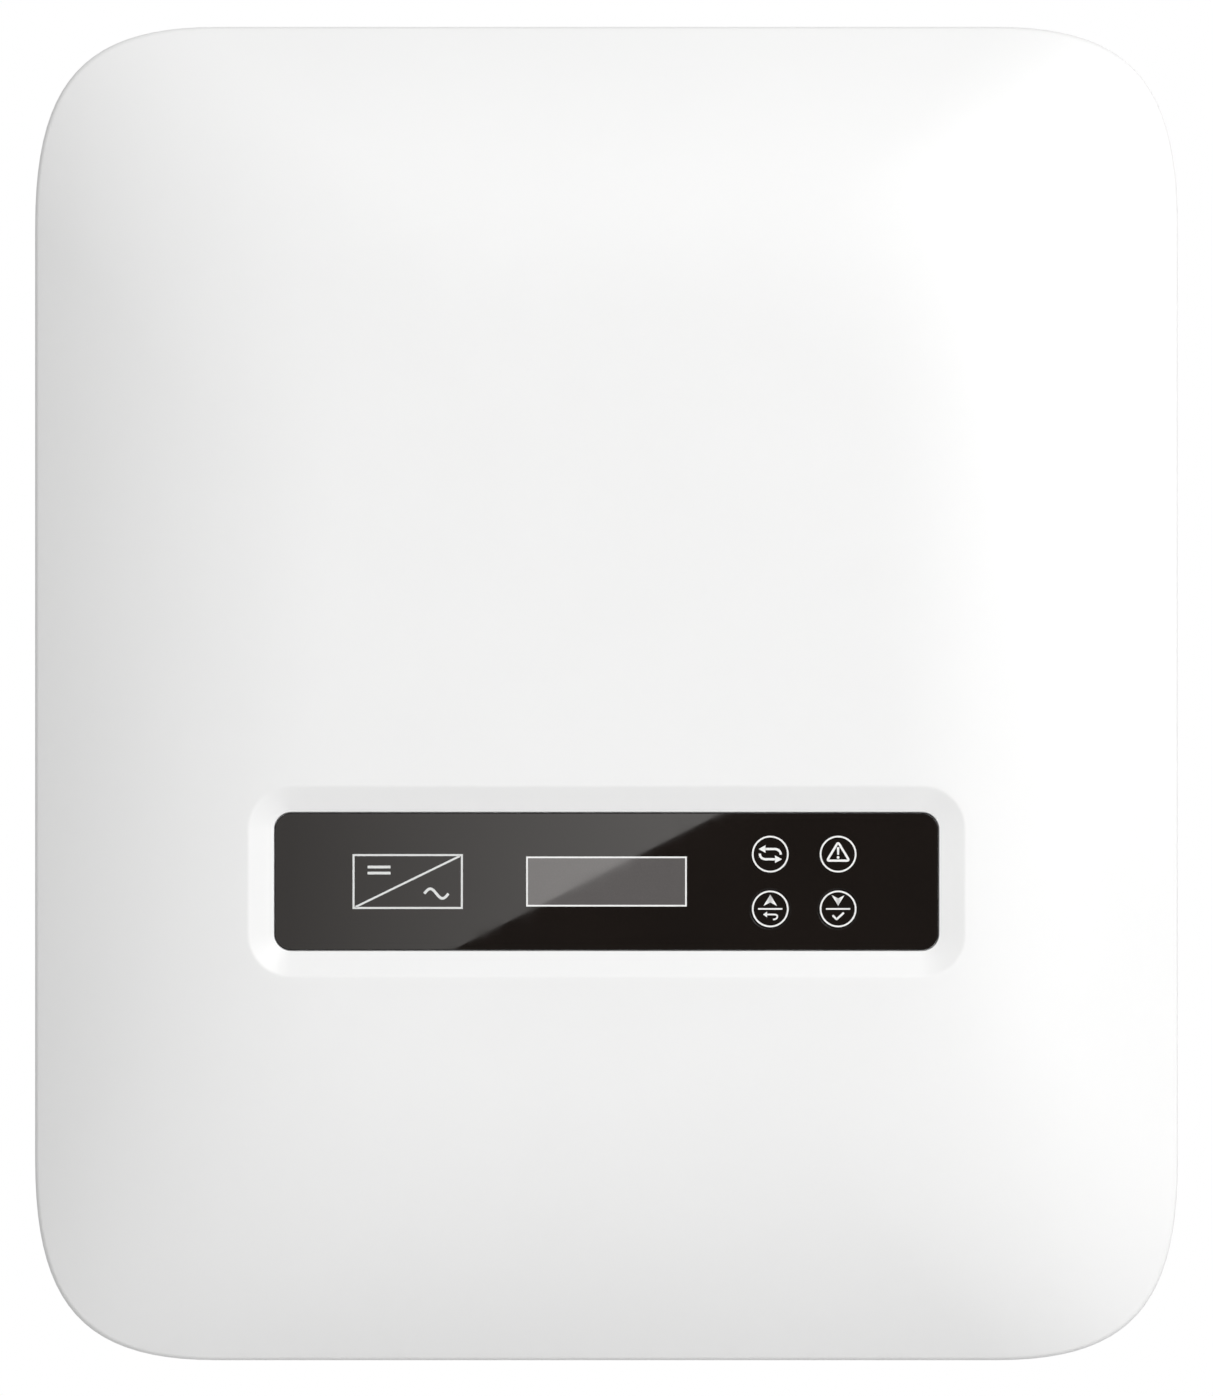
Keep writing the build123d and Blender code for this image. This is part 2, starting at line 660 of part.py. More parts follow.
module_thickness = 12.0
module_width = 56.0
module_height = 45.0
module_pin_radius = 0.8
with BuildPart() as power_modules:
    for x in (-60.0, 60.0):
        block(around(x, module_width), (base_front_depth, base_front_depth + module_thickness),
              around(board_middle, module_height))
        with BuildSketch(at_depth(base_front_depth + module_thickness)):
            with Locations((x, board_middle)):
                with GridLocations(7.0, module_height - 6.0, 7, 2):
                    Circle(module_pin_radius)
        extrude(amount=board_back_depth - base_front_depth - module_thickness)
write(power_modules, "power_modules")

capacitor_gap = 3.0
capacitor_pitch = 2 * capacitor_radius + capacitor_gap
with BuildPart() as dc_link_capacitors:
    with BuildSketch(at_depth(board_front_depth)):
        with Locations((0, board_top - capacitor_pitch - capacitor_gap / 2)):
            with GridLocations(capacitor_pitch, capacitor_pitch, 4, 2):
                Circle(capacitor_radius)
    extrude(amount=capacitor_height)
    fillet(dc_link_capacitors.edges().filter_by(GeomType.CIRCLE).group_by(Axis.Y)[0], 1.5)
write(dc_link_capacitors, "dc_link_capacitors")


def on_board(x, z, size_x, size_z, height):
    """A block that stands on the main board."""
    block(around(x, size_x), (board_front_depth, board_front_depth + height), around(z, size_z))


terminal_height = 17.0
terminal_rise = 18.0
terminal_foot = board_bottom + 2.0
terminal_top = terminal_foot + terminal_rise

film_size = (30.0, 13.0, 22.0)
film_pitch = 16.0
with BuildPart() as film_capacitors:
    for i in range(4):
        size_x, size_z, height = film_size
        on_board(42.0 - board_width / 2, board_top - 12.0 - film_pitch * i, size_x, size_z, height)
    fillet(film_capacitors.edges().filter_by(Axis.Y), 1.0)
write(film_capacitors, "film_capacitors")

relay_size = 20.0
relay_pitch = 24.0
relay_x = board_width / 2 - 24.0
with BuildPart() as relays:
    for i in range(4):
        on_board(relay_x, terminal_top + relay_size / 2 + 2.0 + relay_pitch * i, relay_size, relay_size, 15.0)
write(relays, "relays")

choke_radius = 16.0
choke_pitch = 37.0
choke_x = relay_x - relay_size / 2 - choke_radius - 1.5
with BuildPart() as common_mode_chokes:
    with BuildSketch(at_depth(board_front_depth)):
        for i in range(2):
            with Locations((choke_x, board_top - choke_radius - 2.0 - choke_pitch * i)):
                Circle(choke_radius)
                Circle(choke_radius / 2, mode=Mode.SUBTRACT)
    extrude(amount=16.0)
write(common_mode_chokes, "common_mode_chokes")

varistor_radius = 8.0
varistor_lift = 1.0
varistor_z = terminal_top + varistor_radius + 4.0
with BuildPart() as varistors:
    for i in range(3):
        x = 30.0 + 14.0 * i - board_width / 2
        with BuildSketch(Plane.YZ.offset(x)):
            with Locations((-(board_front_depth + varistor_lift + varistor_radius), varistor_z)):
                Circle(varistor_radius)
            with Locations((-(board_front_depth + 2.0), varistor_z - 4.0),
                           (-(board_front_depth + 2.0), varistor_z + 4.0)):
                Rectangle(4.0, 1.2)
        extrude(amount=4.0)
write(varistors, "varistors")

dc_lead_pitch = 14.0
ac_lead_pitch = 8.0
dc_lead_x = [row_x["dc_switch"] + share * dc_lead_pitch for share in (-0.5, 0.5)]
ac_lead_x = [row_x["ac"] + share * ac_lead_pitch for share in (-1, 0, 1)]
with BuildPart() as terminal_blocks:
    on_board(row_x["dc_switch"], terminal_foot + terminal_rise / 2, 28.0, terminal_rise, terminal_height)
    on_board(row_x["ac"], terminal_foot + terminal_rise / 2, 40.0, terminal_rise, terminal_height)
    for x in dc_lead_x + ac_lead_x:
        rod(x, terminal_foot + terminal_rise / 2, 3.0,
            (board_front_depth + terminal_height - 4.0, board_front_depth + terminal_height), Mode.SUBTRACT)
write(terminal_blocks, "terminal_blocks")

# ================================================================ control board
control_posts = [(sx * (control_width / 2 - 6.0), control_middle + sz * (control_height / 2 - 6.0))
                 for sx in (-1, 1) for sz in (-1, 1)]
with BuildPart() as control_board:
    with BuildSketch(at_depth(control_back_depth)):
        with Locations((0, control_middle)):
            RectangleRounded(control_width, control_height, 3.0)
        with Locations(*control_posts):
            Circle(small_screw_radius + screw_gap, mode=Mode.SUBTRACT)
    extrude(amount=board_thickness)
write(control_board, "control_board")

with BuildPart() as board_standoffs:
    for places, back, length in (
        (post_places, floor_depth, board_standoff),
        (control_posts, board_front_depth, control_standoff),
    ):
        with BuildSketch(at_depth(back)):
            with Locations(*places):
                RegularPolygon(screw_post_radius, 6)
                Circle(small_screw_radius + thread_gap, mode=Mode.SUBTRACT)
        extrude(amount=length)
write(board_standoffs, "board_standoffs")

with BuildPart() as board_screws:
    for places, front in ((post_places, board_front_depth), (control_posts, control_front_depth)):
        for x, z in places:
            cap_screw(to_front(x, front, z), small_screw_radius, board_thickness + board_screw_bite)
    for x, z in display_posts:
        cap_screw(to_wall(x, display_back_depth, z), small_screw_radius, board_thickness + display_screw_bite)
write(board_screws, "board_screws")

com_plug_z = control_bottom + 5.0
com_plug_height = 8.0
com_plug_rise = 6.0
com_plug_x = control_posts[-1][0] - 14.0
ribbon_x = -55.0
ribbon_width = 20.0
plug_rise = 3.5
with BuildPart() as control_chips:
    for x, z, size_x, size_z, height in (
        (0.0, 4.0, 14.0, 14.0, 1.5),
        (28.0, 10.0, 10.0, 7.0, 1.2),
        (-26.0, 12.0, 18.0, 10.0, 2.6),
        (20.0, -16.0, 7.0, 7.0, 1.0),
    ):
        block(around(x, size_x), (control_front_depth, control_front_depth + height),
              around(control_middle + z, size_z))
    block(around(com_plug_x, 14.0), (control_front_depth, control_front_depth + com_plug_rise),
          around(com_plug_z, com_plug_height))
write(control_chips, "control_chips")

ribbon_low = control_middle - 18.0
ribbon_high = panel_z + 12.0
with BuildPart() as ribbon_cable:
    plug_span = around(ribbon_x, ribbon_width + 2.0)
    block(plug_span, (control_front_depth, control_front_depth + plug_rise), around(ribbon_low, 5.0))
    block(plug_span, (display_back_depth - plug_rise, display_back_depth), around(ribbon_high, 5.0))
    bend = (control_front_depth + display_back_depth) / 2
    with BuildSketch(Plane.YZ.offset(ribbon_x - ribbon_width / 2)):
        with BuildLine():
            FilletPolyline((-(control_front_depth + plug_rise), ribbon_low), (-bend, ribbon_low),
                           (-bend, ribbon_high), (-(display_back_depth - plug_rise), ribbon_high), radius=3.0)
        trace(line_width=0.8)
    extrude(amount=ribbon_width)
write(ribbon_cable, "ribbon_cable")

# ================================================================ inductors in the upper bay
inductor_z = (board_top + inside_top) / 2
inductor_places = [(x, inductor_z) for x in spread(3, 2 * inside_half)]
wire_size = 3.0
wire_gap = 0.3
turn_count = 16
core_back_depth = floor_depth + wire_size + wire_gap
coil_front_depth = core_back_depth + toroid_height + wire_gap + wire_size
with BuildPart() as inductor_cores:
    with BuildSketch(at_depth(core_back_depth)):
        with Locations(*inductor_places):
            Circle(toroid_radius)
            Circle(toroid_bore, mode=Mode.SUBTRACT)
    extrude(amount=toroid_height)
write(inductor_cores, "inductor_cores")

with BuildPart() as inductor_windings:
    section_middle = (toroid_radius + toroid_bore) / 2
    section_width = toroid_radius - toroid_bore + 2 * wire_gap
    section_height = toroid_height + 2 * wire_gap
    turns = [i * 360.0 / turn_count for i in range(turn_count - 1)]
    for x, z in inductor_places:
        coil_middle = to_front(x, (floor_depth + coil_front_depth) / 2, z)
        for turn in turns:
            with Locations(coil_middle * Location((0, 0, 0), (0, 0, turn)) * Location((section_middle, 0, 0))):
                Box(section_width + 2 * wire_size, wire_size, section_height + 2 * wire_size)
        for turn in turns:
            with Locations(coil_middle * Location((0, 0, 0), (0, 0, turn)) * Location((section_middle, 0, 0))):
                Box(section_width, wire_size, section_height, mode=Mode.SUBTRACT)
write(inductor_windings, "inductor_windings")

clamp_thickness = 2.0
with BuildPart() as inductor_clamps:
    for x, z in inductor_places:
        rod(x, z, toroid_bore - wire_size - 4.0, (floor_depth, coil_front_depth))
        rod(x, z, toroid_bore + 6.0, (coil_front_depth, coil_front_depth + clamp_thickness))
write(inductor_clamps, "inductor_clamps")

# ================================================================ isolator
turn_gap = 0.3
switch_body_height = 50.0
switch_body_top = inside_bottom + switch_body_height
switch_body_x = 36.0
switch_body_depth = 32.0
plate_thickness = 2.0
knob_gap = 0.3
knob_top = chassis_bottom - plate_thickness - knob_gap
knob_radius = 15.0
knob_base = 6.0
knob_grip = 16.0
tang = 5.6  # across the flats of the shaft's square end
tang_length = 14.0
shaft_top = inside_bottom + 32.0
shaft_low = knob_top - tang_length
shaft_screw_bite = 8.0
switch_x = row_x["dc_switch"]
with BuildPart() as dc_switch_body:
    block(around(switch_x, switch_body_x), around(row_depth, switch_body_depth), (inside_bottom, switch_body_top))
    post(switch_x, row_depth, shaft_radius + turn_gap, (inside_bottom, shaft_top + knob_gap), Mode.SUBTRACT)
    fillet(dc_switch_body.edges().filter_by(Axis.Z).sort_by(SortBy.LENGTH)[-4:], 2.0)
write(dc_switch_body, "dc_switch_body")

with BuildPart() as dc_switch_plate:
    with BuildSketch(facing_down(chassis_bottom)):
        with Locations((switch_x, row_depth)):
            RectangleRounded(switch_body_x, switch_body_x, 4.0)
            Circle(shaft_radius + turn_gap, mode=Mode.SUBTRACT)
    extrude(amount=plate_thickness)
write(dc_switch_plate, "dc_switch_plate")

with BuildPart() as dc_switch_shaft:
    post(switch_x, row_depth, shaft_radius, (knob_top, shaft_top))
    block(around(switch_x, tang), around(row_depth, tang), (shaft_low, knob_top))
    post(switch_x, row_depth, small_screw_radius + thread_gap,
         (shaft_low, shaft_low + shaft_screw_bite + hole_bottom), Mode.SUBTRACT)
write(dc_switch_shaft, "dc_switch_shaft")

screw_floor = 3.0  # of the knob between its screw's head and the shaft's end
with BuildPart() as dc_switch_knob:
    post(switch_x, row_depth, knob_radius, (knob_top - knob_base, knob_top))
    chamfer(dc_switch_knob.edges().group_by(Axis.Z)[0], 1.0)
    with BuildSketch(facing_down(knob_top - knob_base)):
        with Locations((switch_x, row_depth)):
            SlotOverall(2 * knob_radius, 9.0)
    extrude(amount=knob_grip)
    fillet(dc_switch_knob.edges().group_by(Axis.Z)[0], 1.5)
    block(around(switch_x, tang), around(row_depth, tang), (shaft_low, knob_top), Mode.SUBTRACT)
    post(switch_x, row_depth, small_screw_radius + screw_gap, (shaft_low - screw_floor, shaft_low), Mode.SUBTRACT)
    post(switch_x, row_depth, 3.2, (knob_top - knob_base - knob_grip, shaft_low - screw_floor), Mode.SUBTRACT)
write(dc_switch_knob, "dc_switch_knob")

with BuildPart() as dc_knob_screw:
    cap_screw(downwards(switch_x, row_depth, shaft_low - screw_floor), small_screw_radius,
              screw_floor + shaft_screw_bite)
write(dc_knob_screw, "dc_knob_screw")

# ================================================================ solar sockets
seal_height = 1.0
socket_flange_radius = 9.5
socket_flange = 4.0
socket_barrel_radius = 7.0
socket_barrel = 20.0
socket_bore = 4.6
socket_bore_depth = 16.0
contact_radius = 2.0
contact_inset = 2.0
thread_radius = 6.0
fitting_top = inside_bottom + 12.0
nut_height = 5.0
socket_top = chassis_bottom - seal_height
socket_foot = socket_top - socket_flange - socket_barrel
contact_top = socket_foot + socket_bore_depth
polarity = {"positive": ("pv_1", "pv_3"), "negative": ("pv_2", "pv_4")}
for pole, fittings in polarity.items():
    with BuildPart() as pv_sockets:
        for fitting in fittings:
            x = row_x[fitting]
            post(x, row_depth, thread_radius, (socket_top, fitting_top))
            post(x, row_depth, socket_flange_radius, (socket_top - socket_flange, socket_top))
            post(x, row_depth, socket_barrel_radius, (socket_foot, socket_top - socket_flange))
            if pole == "negative":
                post(x, row_depth, socket_barrel_radius + 1.0,
                     (socket_top - socket_flange - 7.0, socket_top - socket_flange - 4.0))
            post(x, row_depth, socket_bore, (socket_foot, contact_top), Mode.SUBTRACT)
    write(pv_sockets, f"pv_sockets_{pole}")

with BuildPart() as pv_contacts:
    for fitting in pv_names:
        post(row_x[fitting], row_depth, contact_radius, (socket_foot + contact_inset, contact_top))
write(pv_contacts, "pv_contacts")

with BuildPart() as pv_nuts:
    with BuildSketch(Plane.XY.offset(inside_bottom)):
        for fitting in pv_names:
            with Locations((row_x[fitting], -row_depth)):
                RegularPolygon(socket_flange_radius, 6)
                Circle(socket_hole, mode=Mode.SUBTRACT)
    extrude(amount=nut_height)
write(pv_nuts, "pv_nuts")

# ================================================================ breather and communication port
with BuildPart() as vent_valve:
    x = row_x["vent"]
    post(x, row_depth, thread_radius, (chassis_bottom, inside_bottom + 4.0))
    with BuildSketch(facing_down(chassis_bottom)) as vent_hex:
        with Locations((x, row_depth)):
            RegularPolygon(9.0, 6)
    extrude(vent_hex.sketch, amount=4.0)
    post(x, row_depth, 7.0, (chassis_bottom - 10.0, chassis_bottom - 4.0))
    for turn in (0, 90):
        with Locations(Location((x, -row_depth, chassis_bottom - 6.0), (0, 0, turn))):
            Box(14.0, 2.0, 1.6, mode=Mode.SUBTRACT)
write(vent_valve, "vent_valve")

com_x = row_x["com"]
com_flange_radius = 13.0
com_flange = 3.0
com_barrel_radius = 10.0
com_barrel = 14.0
com_jack_x = 12.0
com_jack_depth = 9.0
com_body_radius = 7.7
com_cap_gap = 0.3
com_cap_wall = 1.7
com_cap_floor = 3.0
com_cap_room = 1.0
com_flange_foot = chassis_bottom - com_flange
com_foot = com_flange_foot - com_barrel
with BuildPart() as com_port:
    post(com_x, row_depth, com_flange_radius, (com_flange_foot, chassis_bottom))
    post(com_x, row_depth, com_barrel_radius, (com_foot, com_flange_foot))
    post(com_x, row_depth, com_body_radius, (chassis_bottom, fitting_top))
    block(around(com_x, com_jack_x), around(row_depth, com_jack_depth), (com_foot, com_flange_foot), Mode.SUBTRACT)
write(com_port, "com_port")

with BuildPart() as com_cap:
    cap_radius = com_barrel_radius + com_cap_gap + com_cap_wall
    cap_foot = com_foot - com_cap_room - com_cap_floor
    post(com_x, row_depth, cap_radius, (cap_foot, com_flange_foot))
    chamfer(com_cap.edges().group_by(Axis.Z)[0], 1.0)
    post(com_x, row_depth, com_barrel_radius + com_cap_gap, (com_foot - com_cap_room, com_flange_foot),
         Mode.SUBTRACT)
    with Locations((com_x, -row_depth, (cap_foot + 2.0 + com_flange_foot - 4.0) / 2)):
        with PolarLocations(cap_radius, 16):
            Box(1.4, 1.6, com_flange_foot - cap_foot - 6.0, mode=Mode.SUBTRACT)
write(com_cap, "com_cap")

# ================================================================ grid socket
ac_x = row_x["ac"]
ac_flange_size = 38.0
ac_flange = 4.0
ac_barrel_radius = 15.0
ac_barrel = 26.0
ac_bore = 12.5
ac_bore_depth = 20.0
ac_body_radius = 12.7
ac_insert_radius = 12.2
ac_insert_height = 8.0
ac_pin_radius = 1.8
ac_pin_length = 8.0
ac_pin_ring = 7.0
ac_top = chassis_bottom - seal_height
ac_flange_foot = ac_top - ac_flange
ac_foot = ac_flange_foot - ac_barrel
ac_insert_top = ac_foot + ac_bore_depth
ac_insert_foot = ac_insert_top - ac_insert_height
with BuildPart() as ac_socket:
    with BuildSketch(facing_down(ac_top)):
        with Locations((ac_x, row_depth)):
            RectangleRounded(ac_flange_size, ac_flange_size, 4.0)
            with GridLocations(ac_screw_spacing, ac_screw_spacing, 2, 2):
                Circle(small_screw_radius + screw_gap, mode=Mode.SUBTRACT)
    extrude(amount=ac_flange)
    post(ac_x, row_depth, ac_barrel_radius, (ac_foot, ac_flange_foot))
    post(ac_x, row_depth, ac_body_radius, (ac_top, fitting_top))
    post(ac_x, row_depth, ac_bore, (ac_foot, ac_insert_top), Mode.SUBTRACT)
write(ac_socket, "ac_socket")

with BuildPart() as ac_insert:
    post(ac_x, row_depth, ac_insert_radius, (ac_insert_foot, ac_insert_top))
    with Locations((ac_x, -row_depth + ac_insert_radius, ac_insert_foot + 3.0)):
        Box(3.0, 3.0, 6.0, mode=Mode.SUBTRACT)
write(ac_insert, "ac_insert")

with BuildPart() as ac_pins:
    with Locations((ac_x, -row_depth, ac_insert_foot - ac_pin_length / 2)):
        with PolarLocations(ac_pin_ring, 3, start_angle=90):
            Cylinder(ac_pin_radius, ac_pin_length)
    fillet(ac_pins.edges().group_by(Axis.Z)[0], 0.6)
write(ac_pins, "ac_pins")

with BuildPart() as socket_seals:
    with BuildSketch(facing_down(chassis_bottom)):
        for fitting in pv_names:
            with Locations((row_x[fitting], row_depth)):
                Circle(socket_flange_radius)
                Circle(socket_hole, mode=Mode.SUBTRACT)
        with Locations((ac_x, row_depth)):
            RectangleRounded(ac_flange_size, ac_flange_size, 4.0)
            Circle(ac_hole, mode=Mode.SUBTRACT)
            with GridLocations(ac_screw_spacing, ac_screw_spacing, 2, 2):
                Circle(small_screw_radius + screw_gap, mode=Mode.SUBTRACT)
    extrude(amount=seal_height)
write(socket_seals, "socket_seals")

with BuildPart() as ac_screws:
    for side_x in (-0.5, 0.5):
        for side_y in (-0.5, 0.5):
            cap_screw(downwards(ac_x + side_x * ac_screw_spacing, row_depth + side_y * ac_screw_spacing,
                                ac_flange_foot), small_screw_radius, ac_flange + seal_height + chassis_wall)
write(ac_screws, "ac_screws")

earth_washer = 1.2
with BuildPart() as earth_screw:
    post(row_x["earth"], row_depth, 6.0, (chassis_bottom - earth_washer, chassis_bottom))
    cap_screw(downwards(row_x["earth"], row_depth, chassis_bottom - earth_washer), earth_radius,
              earth_washer + chassis_wall + 2.0)
write(earth_screw, "earth_screw")

# ================================================================ leads
level_step = 7.5
lead_levels = [fitting_top + 10.0 + level_step * i for i in range(len(pv_names))]
for colour, pole in (("red", "positive"), ("black", "negative")):
    with BuildPart() as pv_leads:
        for fitting in polarity[pole]:
            level = lead_levels[pv_names.index(fitting)]
            x = row_x[fitting]
            lead([(x, row_depth, fitting_top), (x, row_depth, level),
                  (switch_x + switch_body_x / 2, row_depth, level)], 5.0, lead_radius)
    write(pv_leads, f"pv_leads_{colour}")

terminal_depth = board_front_depth + terminal_height / 2
with BuildPart() as terminal_leads:
    for x in dc_lead_x:
        post(x, terminal_depth, lead_radius, (switch_body_top, terminal_foot))
    for x in ac_lead_x:
        lead([(x, row_depth, fitting_top), (x, row_depth, fitting_top + 20.0),
              (x, terminal_depth, terminal_foot - 20.0), (x, terminal_depth, terminal_foot)], 6.0, lead_radius)
write(terminal_leads, "terminal_leads")

com_cable_radius = 2.6
plug_depth = control_front_depth + com_plug_rise / 2
with BuildPart() as com_cable:
    lead([(com_x, row_depth, fitting_top), (com_x, row_depth, fitting_top + 18.0),
          (com_plug_x, plug_depth, fitting_top + 32.0), (com_plug_x, plug_depth, com_plug_z - com_plug_height / 2)],
         8.0, com_cable_radius)
write(com_cable, "com_cable")
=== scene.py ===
import json
import math

import bpy
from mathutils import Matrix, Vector
from mathutils.geometry import delaunay_2d_cdt


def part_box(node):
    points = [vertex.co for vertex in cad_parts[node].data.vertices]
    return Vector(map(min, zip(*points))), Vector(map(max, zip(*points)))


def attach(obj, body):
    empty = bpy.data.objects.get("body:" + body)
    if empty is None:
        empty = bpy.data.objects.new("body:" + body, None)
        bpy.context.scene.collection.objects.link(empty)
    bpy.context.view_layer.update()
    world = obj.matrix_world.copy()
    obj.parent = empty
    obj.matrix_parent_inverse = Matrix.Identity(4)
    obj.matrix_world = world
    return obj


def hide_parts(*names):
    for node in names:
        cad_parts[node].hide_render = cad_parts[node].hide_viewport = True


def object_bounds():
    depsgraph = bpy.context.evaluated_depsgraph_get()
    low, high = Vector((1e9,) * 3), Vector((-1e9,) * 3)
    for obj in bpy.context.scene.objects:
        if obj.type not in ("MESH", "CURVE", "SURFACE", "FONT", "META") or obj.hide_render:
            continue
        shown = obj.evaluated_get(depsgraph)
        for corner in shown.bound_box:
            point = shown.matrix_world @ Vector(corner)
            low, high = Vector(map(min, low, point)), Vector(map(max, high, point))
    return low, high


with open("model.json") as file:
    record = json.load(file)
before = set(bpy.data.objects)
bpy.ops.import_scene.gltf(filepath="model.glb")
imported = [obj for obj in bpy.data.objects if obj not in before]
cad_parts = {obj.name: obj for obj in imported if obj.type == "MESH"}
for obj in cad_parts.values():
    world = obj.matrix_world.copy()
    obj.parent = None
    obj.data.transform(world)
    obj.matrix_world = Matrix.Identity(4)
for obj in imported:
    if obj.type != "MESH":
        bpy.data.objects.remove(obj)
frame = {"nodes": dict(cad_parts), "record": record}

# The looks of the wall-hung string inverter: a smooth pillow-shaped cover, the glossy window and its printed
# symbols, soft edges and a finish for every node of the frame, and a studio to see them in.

mm = 0.001
cad_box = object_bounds()
scene = bpy.context.scene

# ---------------------------------------------------------------- sizes
cover_low, cover_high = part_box("front_cover")
window_low, window_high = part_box("display_window")
key_centre = {name: (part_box(name)[0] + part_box(name)[1]) / 2 for name in ("key_up", "key_down")}

half_x = (cover_high.x - cover_low.x) / 2
half_z = (cover_high.z - cover_low.z) / 2
rim_depth = -cover_high.y
front_depth = -cover_low.y
wall = 2.8 * mm
crown = 25.0 * mm  # rise of the pillow above the side wall
crown_margin = 95.0 * mm  # width of its rolled border
crown_power = 2.35
run_x = 57.0 * mm  # reach of a corner curve along the top edge
run_z = 63.0 * mm  # and down the side
fullness = 0.73
shoulder_radius = 2.5 * mm
rim_radius = 0.4 * mm
shoulder_depth = front_depth - crown

window_x = (window_high.x - window_low.x) / 2
window_z = (window_high.z - window_low.z) / 2
window_middle = (window_high.z + window_low.z) / 2
window_front = -window_low.y
window_back = -window_high.y
window_gap = 0.3 * mm
window_corner = 5.0 * mm
recess_border = 8.2 * mm
recess_corner = 13.0 * mm
recess_softness = 0.6 * mm
ledge_depth = window_back - 0.5 * mm
ledge_back = ledge_depth - 2.5 * mm
ledge_width = 4.0 * mm
pocket_wall = 3.0 * mm
outside_spacing = 9.0 * mm  # of the points that fill the pillow's middle, outside
inside_spacing = 14.0 * mm  # and inside

boss_radius = 4.6 * mm
boss_bore = 1.9 * mm
boss_foot = 9.0 * mm  # from a cover screw's back end to its boss
screw_apart = 12.0 * mm  # points further apart than this belong to different screws

print_lift = 0.02 * mm  # of the printed marks above the window
print_thickness = 0.03 * mm
lcd_x = 50.4 * mm / 2
lcd_z = 15.7 * mm / 2
lcd_line = 0.52 * mm
icon_radius = 5.5 * mm
icon_line = 0.52 * mm
rule_line = 0.5 * mm
flow_line = 0.72 * mm
triangle_line = 0.7 * mm
tick_line = 0.62 * mm
symbol_line = 0.62 * mm
symbol_mark_line = 0.85 * mm
symbol_x = -62.4 * mm


def place(x, depth, z):
    """A point in the frame's axes, from its distance in front of the wall."""
    return Vector((x, -depth, z))


# ---------------------------------------------------------------- finishes
class Nodes:
    """A material's node tree, with a short way to add a node and join it up."""

    def __init__(self, name):
        self.material = bpy.data.materials.new(name)
        self.material.use_nodes = True
        self.tree = self.material.node_tree
        self.tree.nodes.clear()
        self.shader = self.add("ShaderNodeBsdfPrincipled")
        self.output = self.add("ShaderNodeOutputMaterial")
        self.join(self.shader.outputs["BSDF"], self.output.inputs["Surface"])
        self.here = self.add("ShaderNodeTexCoord").outputs["Object"]

    def add(self, kind, **settings):
        node = self.tree.nodes.new(kind)
        for key, value in settings.items():
            setattr(node, key, value)
        return node

    def join(self, source, target):
        self.tree.links.new(source, target)

    def stretched(self, stretch):
        mapping = self.add("ShaderNodeMapping")
        mapping.inputs["Scale"].default_value = stretch
        self.join(self.here, mapping.inputs["Vector"])
        return mapping.outputs["Vector"]

    def noise(self, size, detail=3.0, stretch=(1, 1, 1)):
        """Noise whose blotches are about `size` across."""
        noise = self.add("ShaderNodeTexNoise")
        noise.inputs["Scale"].default_value = 1 / size
        noise.inputs["Detail"].default_value = detail
        self.join(self.stretched(stretch), noise.inputs["Vector"])
        return noise.outputs["Fac"]

    def cells(self, size, stretch=(1, 1, 1)):
        cells = self.add("ShaderNodeTexVoronoi")
        cells.inputs["Scale"].default_value = 1 / size
        self.join(self.stretched(stretch), cells.inputs["Vector"])
        return cells

    def spread(self, source, low, high, source_range=(0.3, 0.7)):
        """Maps a texture's middle range onto low...high."""
        ranged = self.add("ShaderNodeMapRange")
        ranged.inputs["From Min"].default_value, ranged.inputs["From Max"].default_value = source_range
        ranged.inputs["To Min"].default_value, ranged.inputs["To Max"].default_value = low, high
        self.join(source, ranged.inputs["Value"])
        return ranged.outputs["Result"]

    def colours(self, source, first, second, source_range=(0.3, 0.7)):
        mix = self.add("ShaderNodeMix", data_type="RGBA")
        mix.inputs["A"].default_value = (*first, 1)
        mix.inputs["B"].default_value = (*second, 1)
        self.join(self.spread(source, 0, 1, source_range), mix.inputs["Factor"])
        self.join(mix.outputs["Result"], self.shader.inputs["Base Color"])

    def roughness(self, source, low, high):
        self.join(self.spread(source, low, high), self.shader.inputs["Roughness"])

    def bump(self, *layers):
        """Bumps stacked on one another, each a (texture, height, strength)."""
        normal = None
        for source, height, strength in layers:
            bump = self.add("ShaderNodeBump")
            bump.inputs["Distance"].default_value = height
            bump.inputs["Strength"].default_value = strength
            self.join(source, bump.inputs["Height"])
            if normal is not None:
                self.join(normal, bump.inputs["Normal"])
            normal = bump.outputs["Normal"]
        self.join(normal, self.shader.inputs["Normal"])

    def set(self, **values):
        for key, value in values.items():
            self.shader.inputs[key.replace("_", " ")].default_value = value


def shade(colour, share):
    return tuple(c * share for c in colour)


def moulded(name, colour, roughness=(0.38, 0.5), grain=0.35 * mm, height=0.02 * mm, change=0.9, **values):
    """Moulded plastic, rubber or resin: faint blotches and a fine, even grain."""
    nodes = Nodes(name)
    blotches = nodes.noise(18 * mm)
    nodes.colours(blotches, colour, shade(colour, change))
    nodes.roughness(nodes.noise(6 * mm), *roughness)
    nodes.bump((nodes.noise(grain, 2.0), height, 0.5), (nodes.noise(9 * mm, 1.0), 0.05 * mm, 0.2))
    nodes.set(**values)
    return nodes.material


def sprayed(name, colour, roughness, peel, peel_height, change=0.97):
    """The nodes of paint with the soft ripple of a sprayed coat."""
    nodes = Nodes(name)
    nodes.colours(nodes.noise(60 * mm), colour, shade(colour, change))
    nodes.roughness(nodes.noise(14 * mm), *roughness)
    nodes.bump((nodes.noise(peel, 2.0), peel_height, 0.35), (nodes.noise(0.4 * mm, 1.0), 0.004 * mm, 0.3))
    return nodes


def painted(*look):
    return sprayed(*look).material


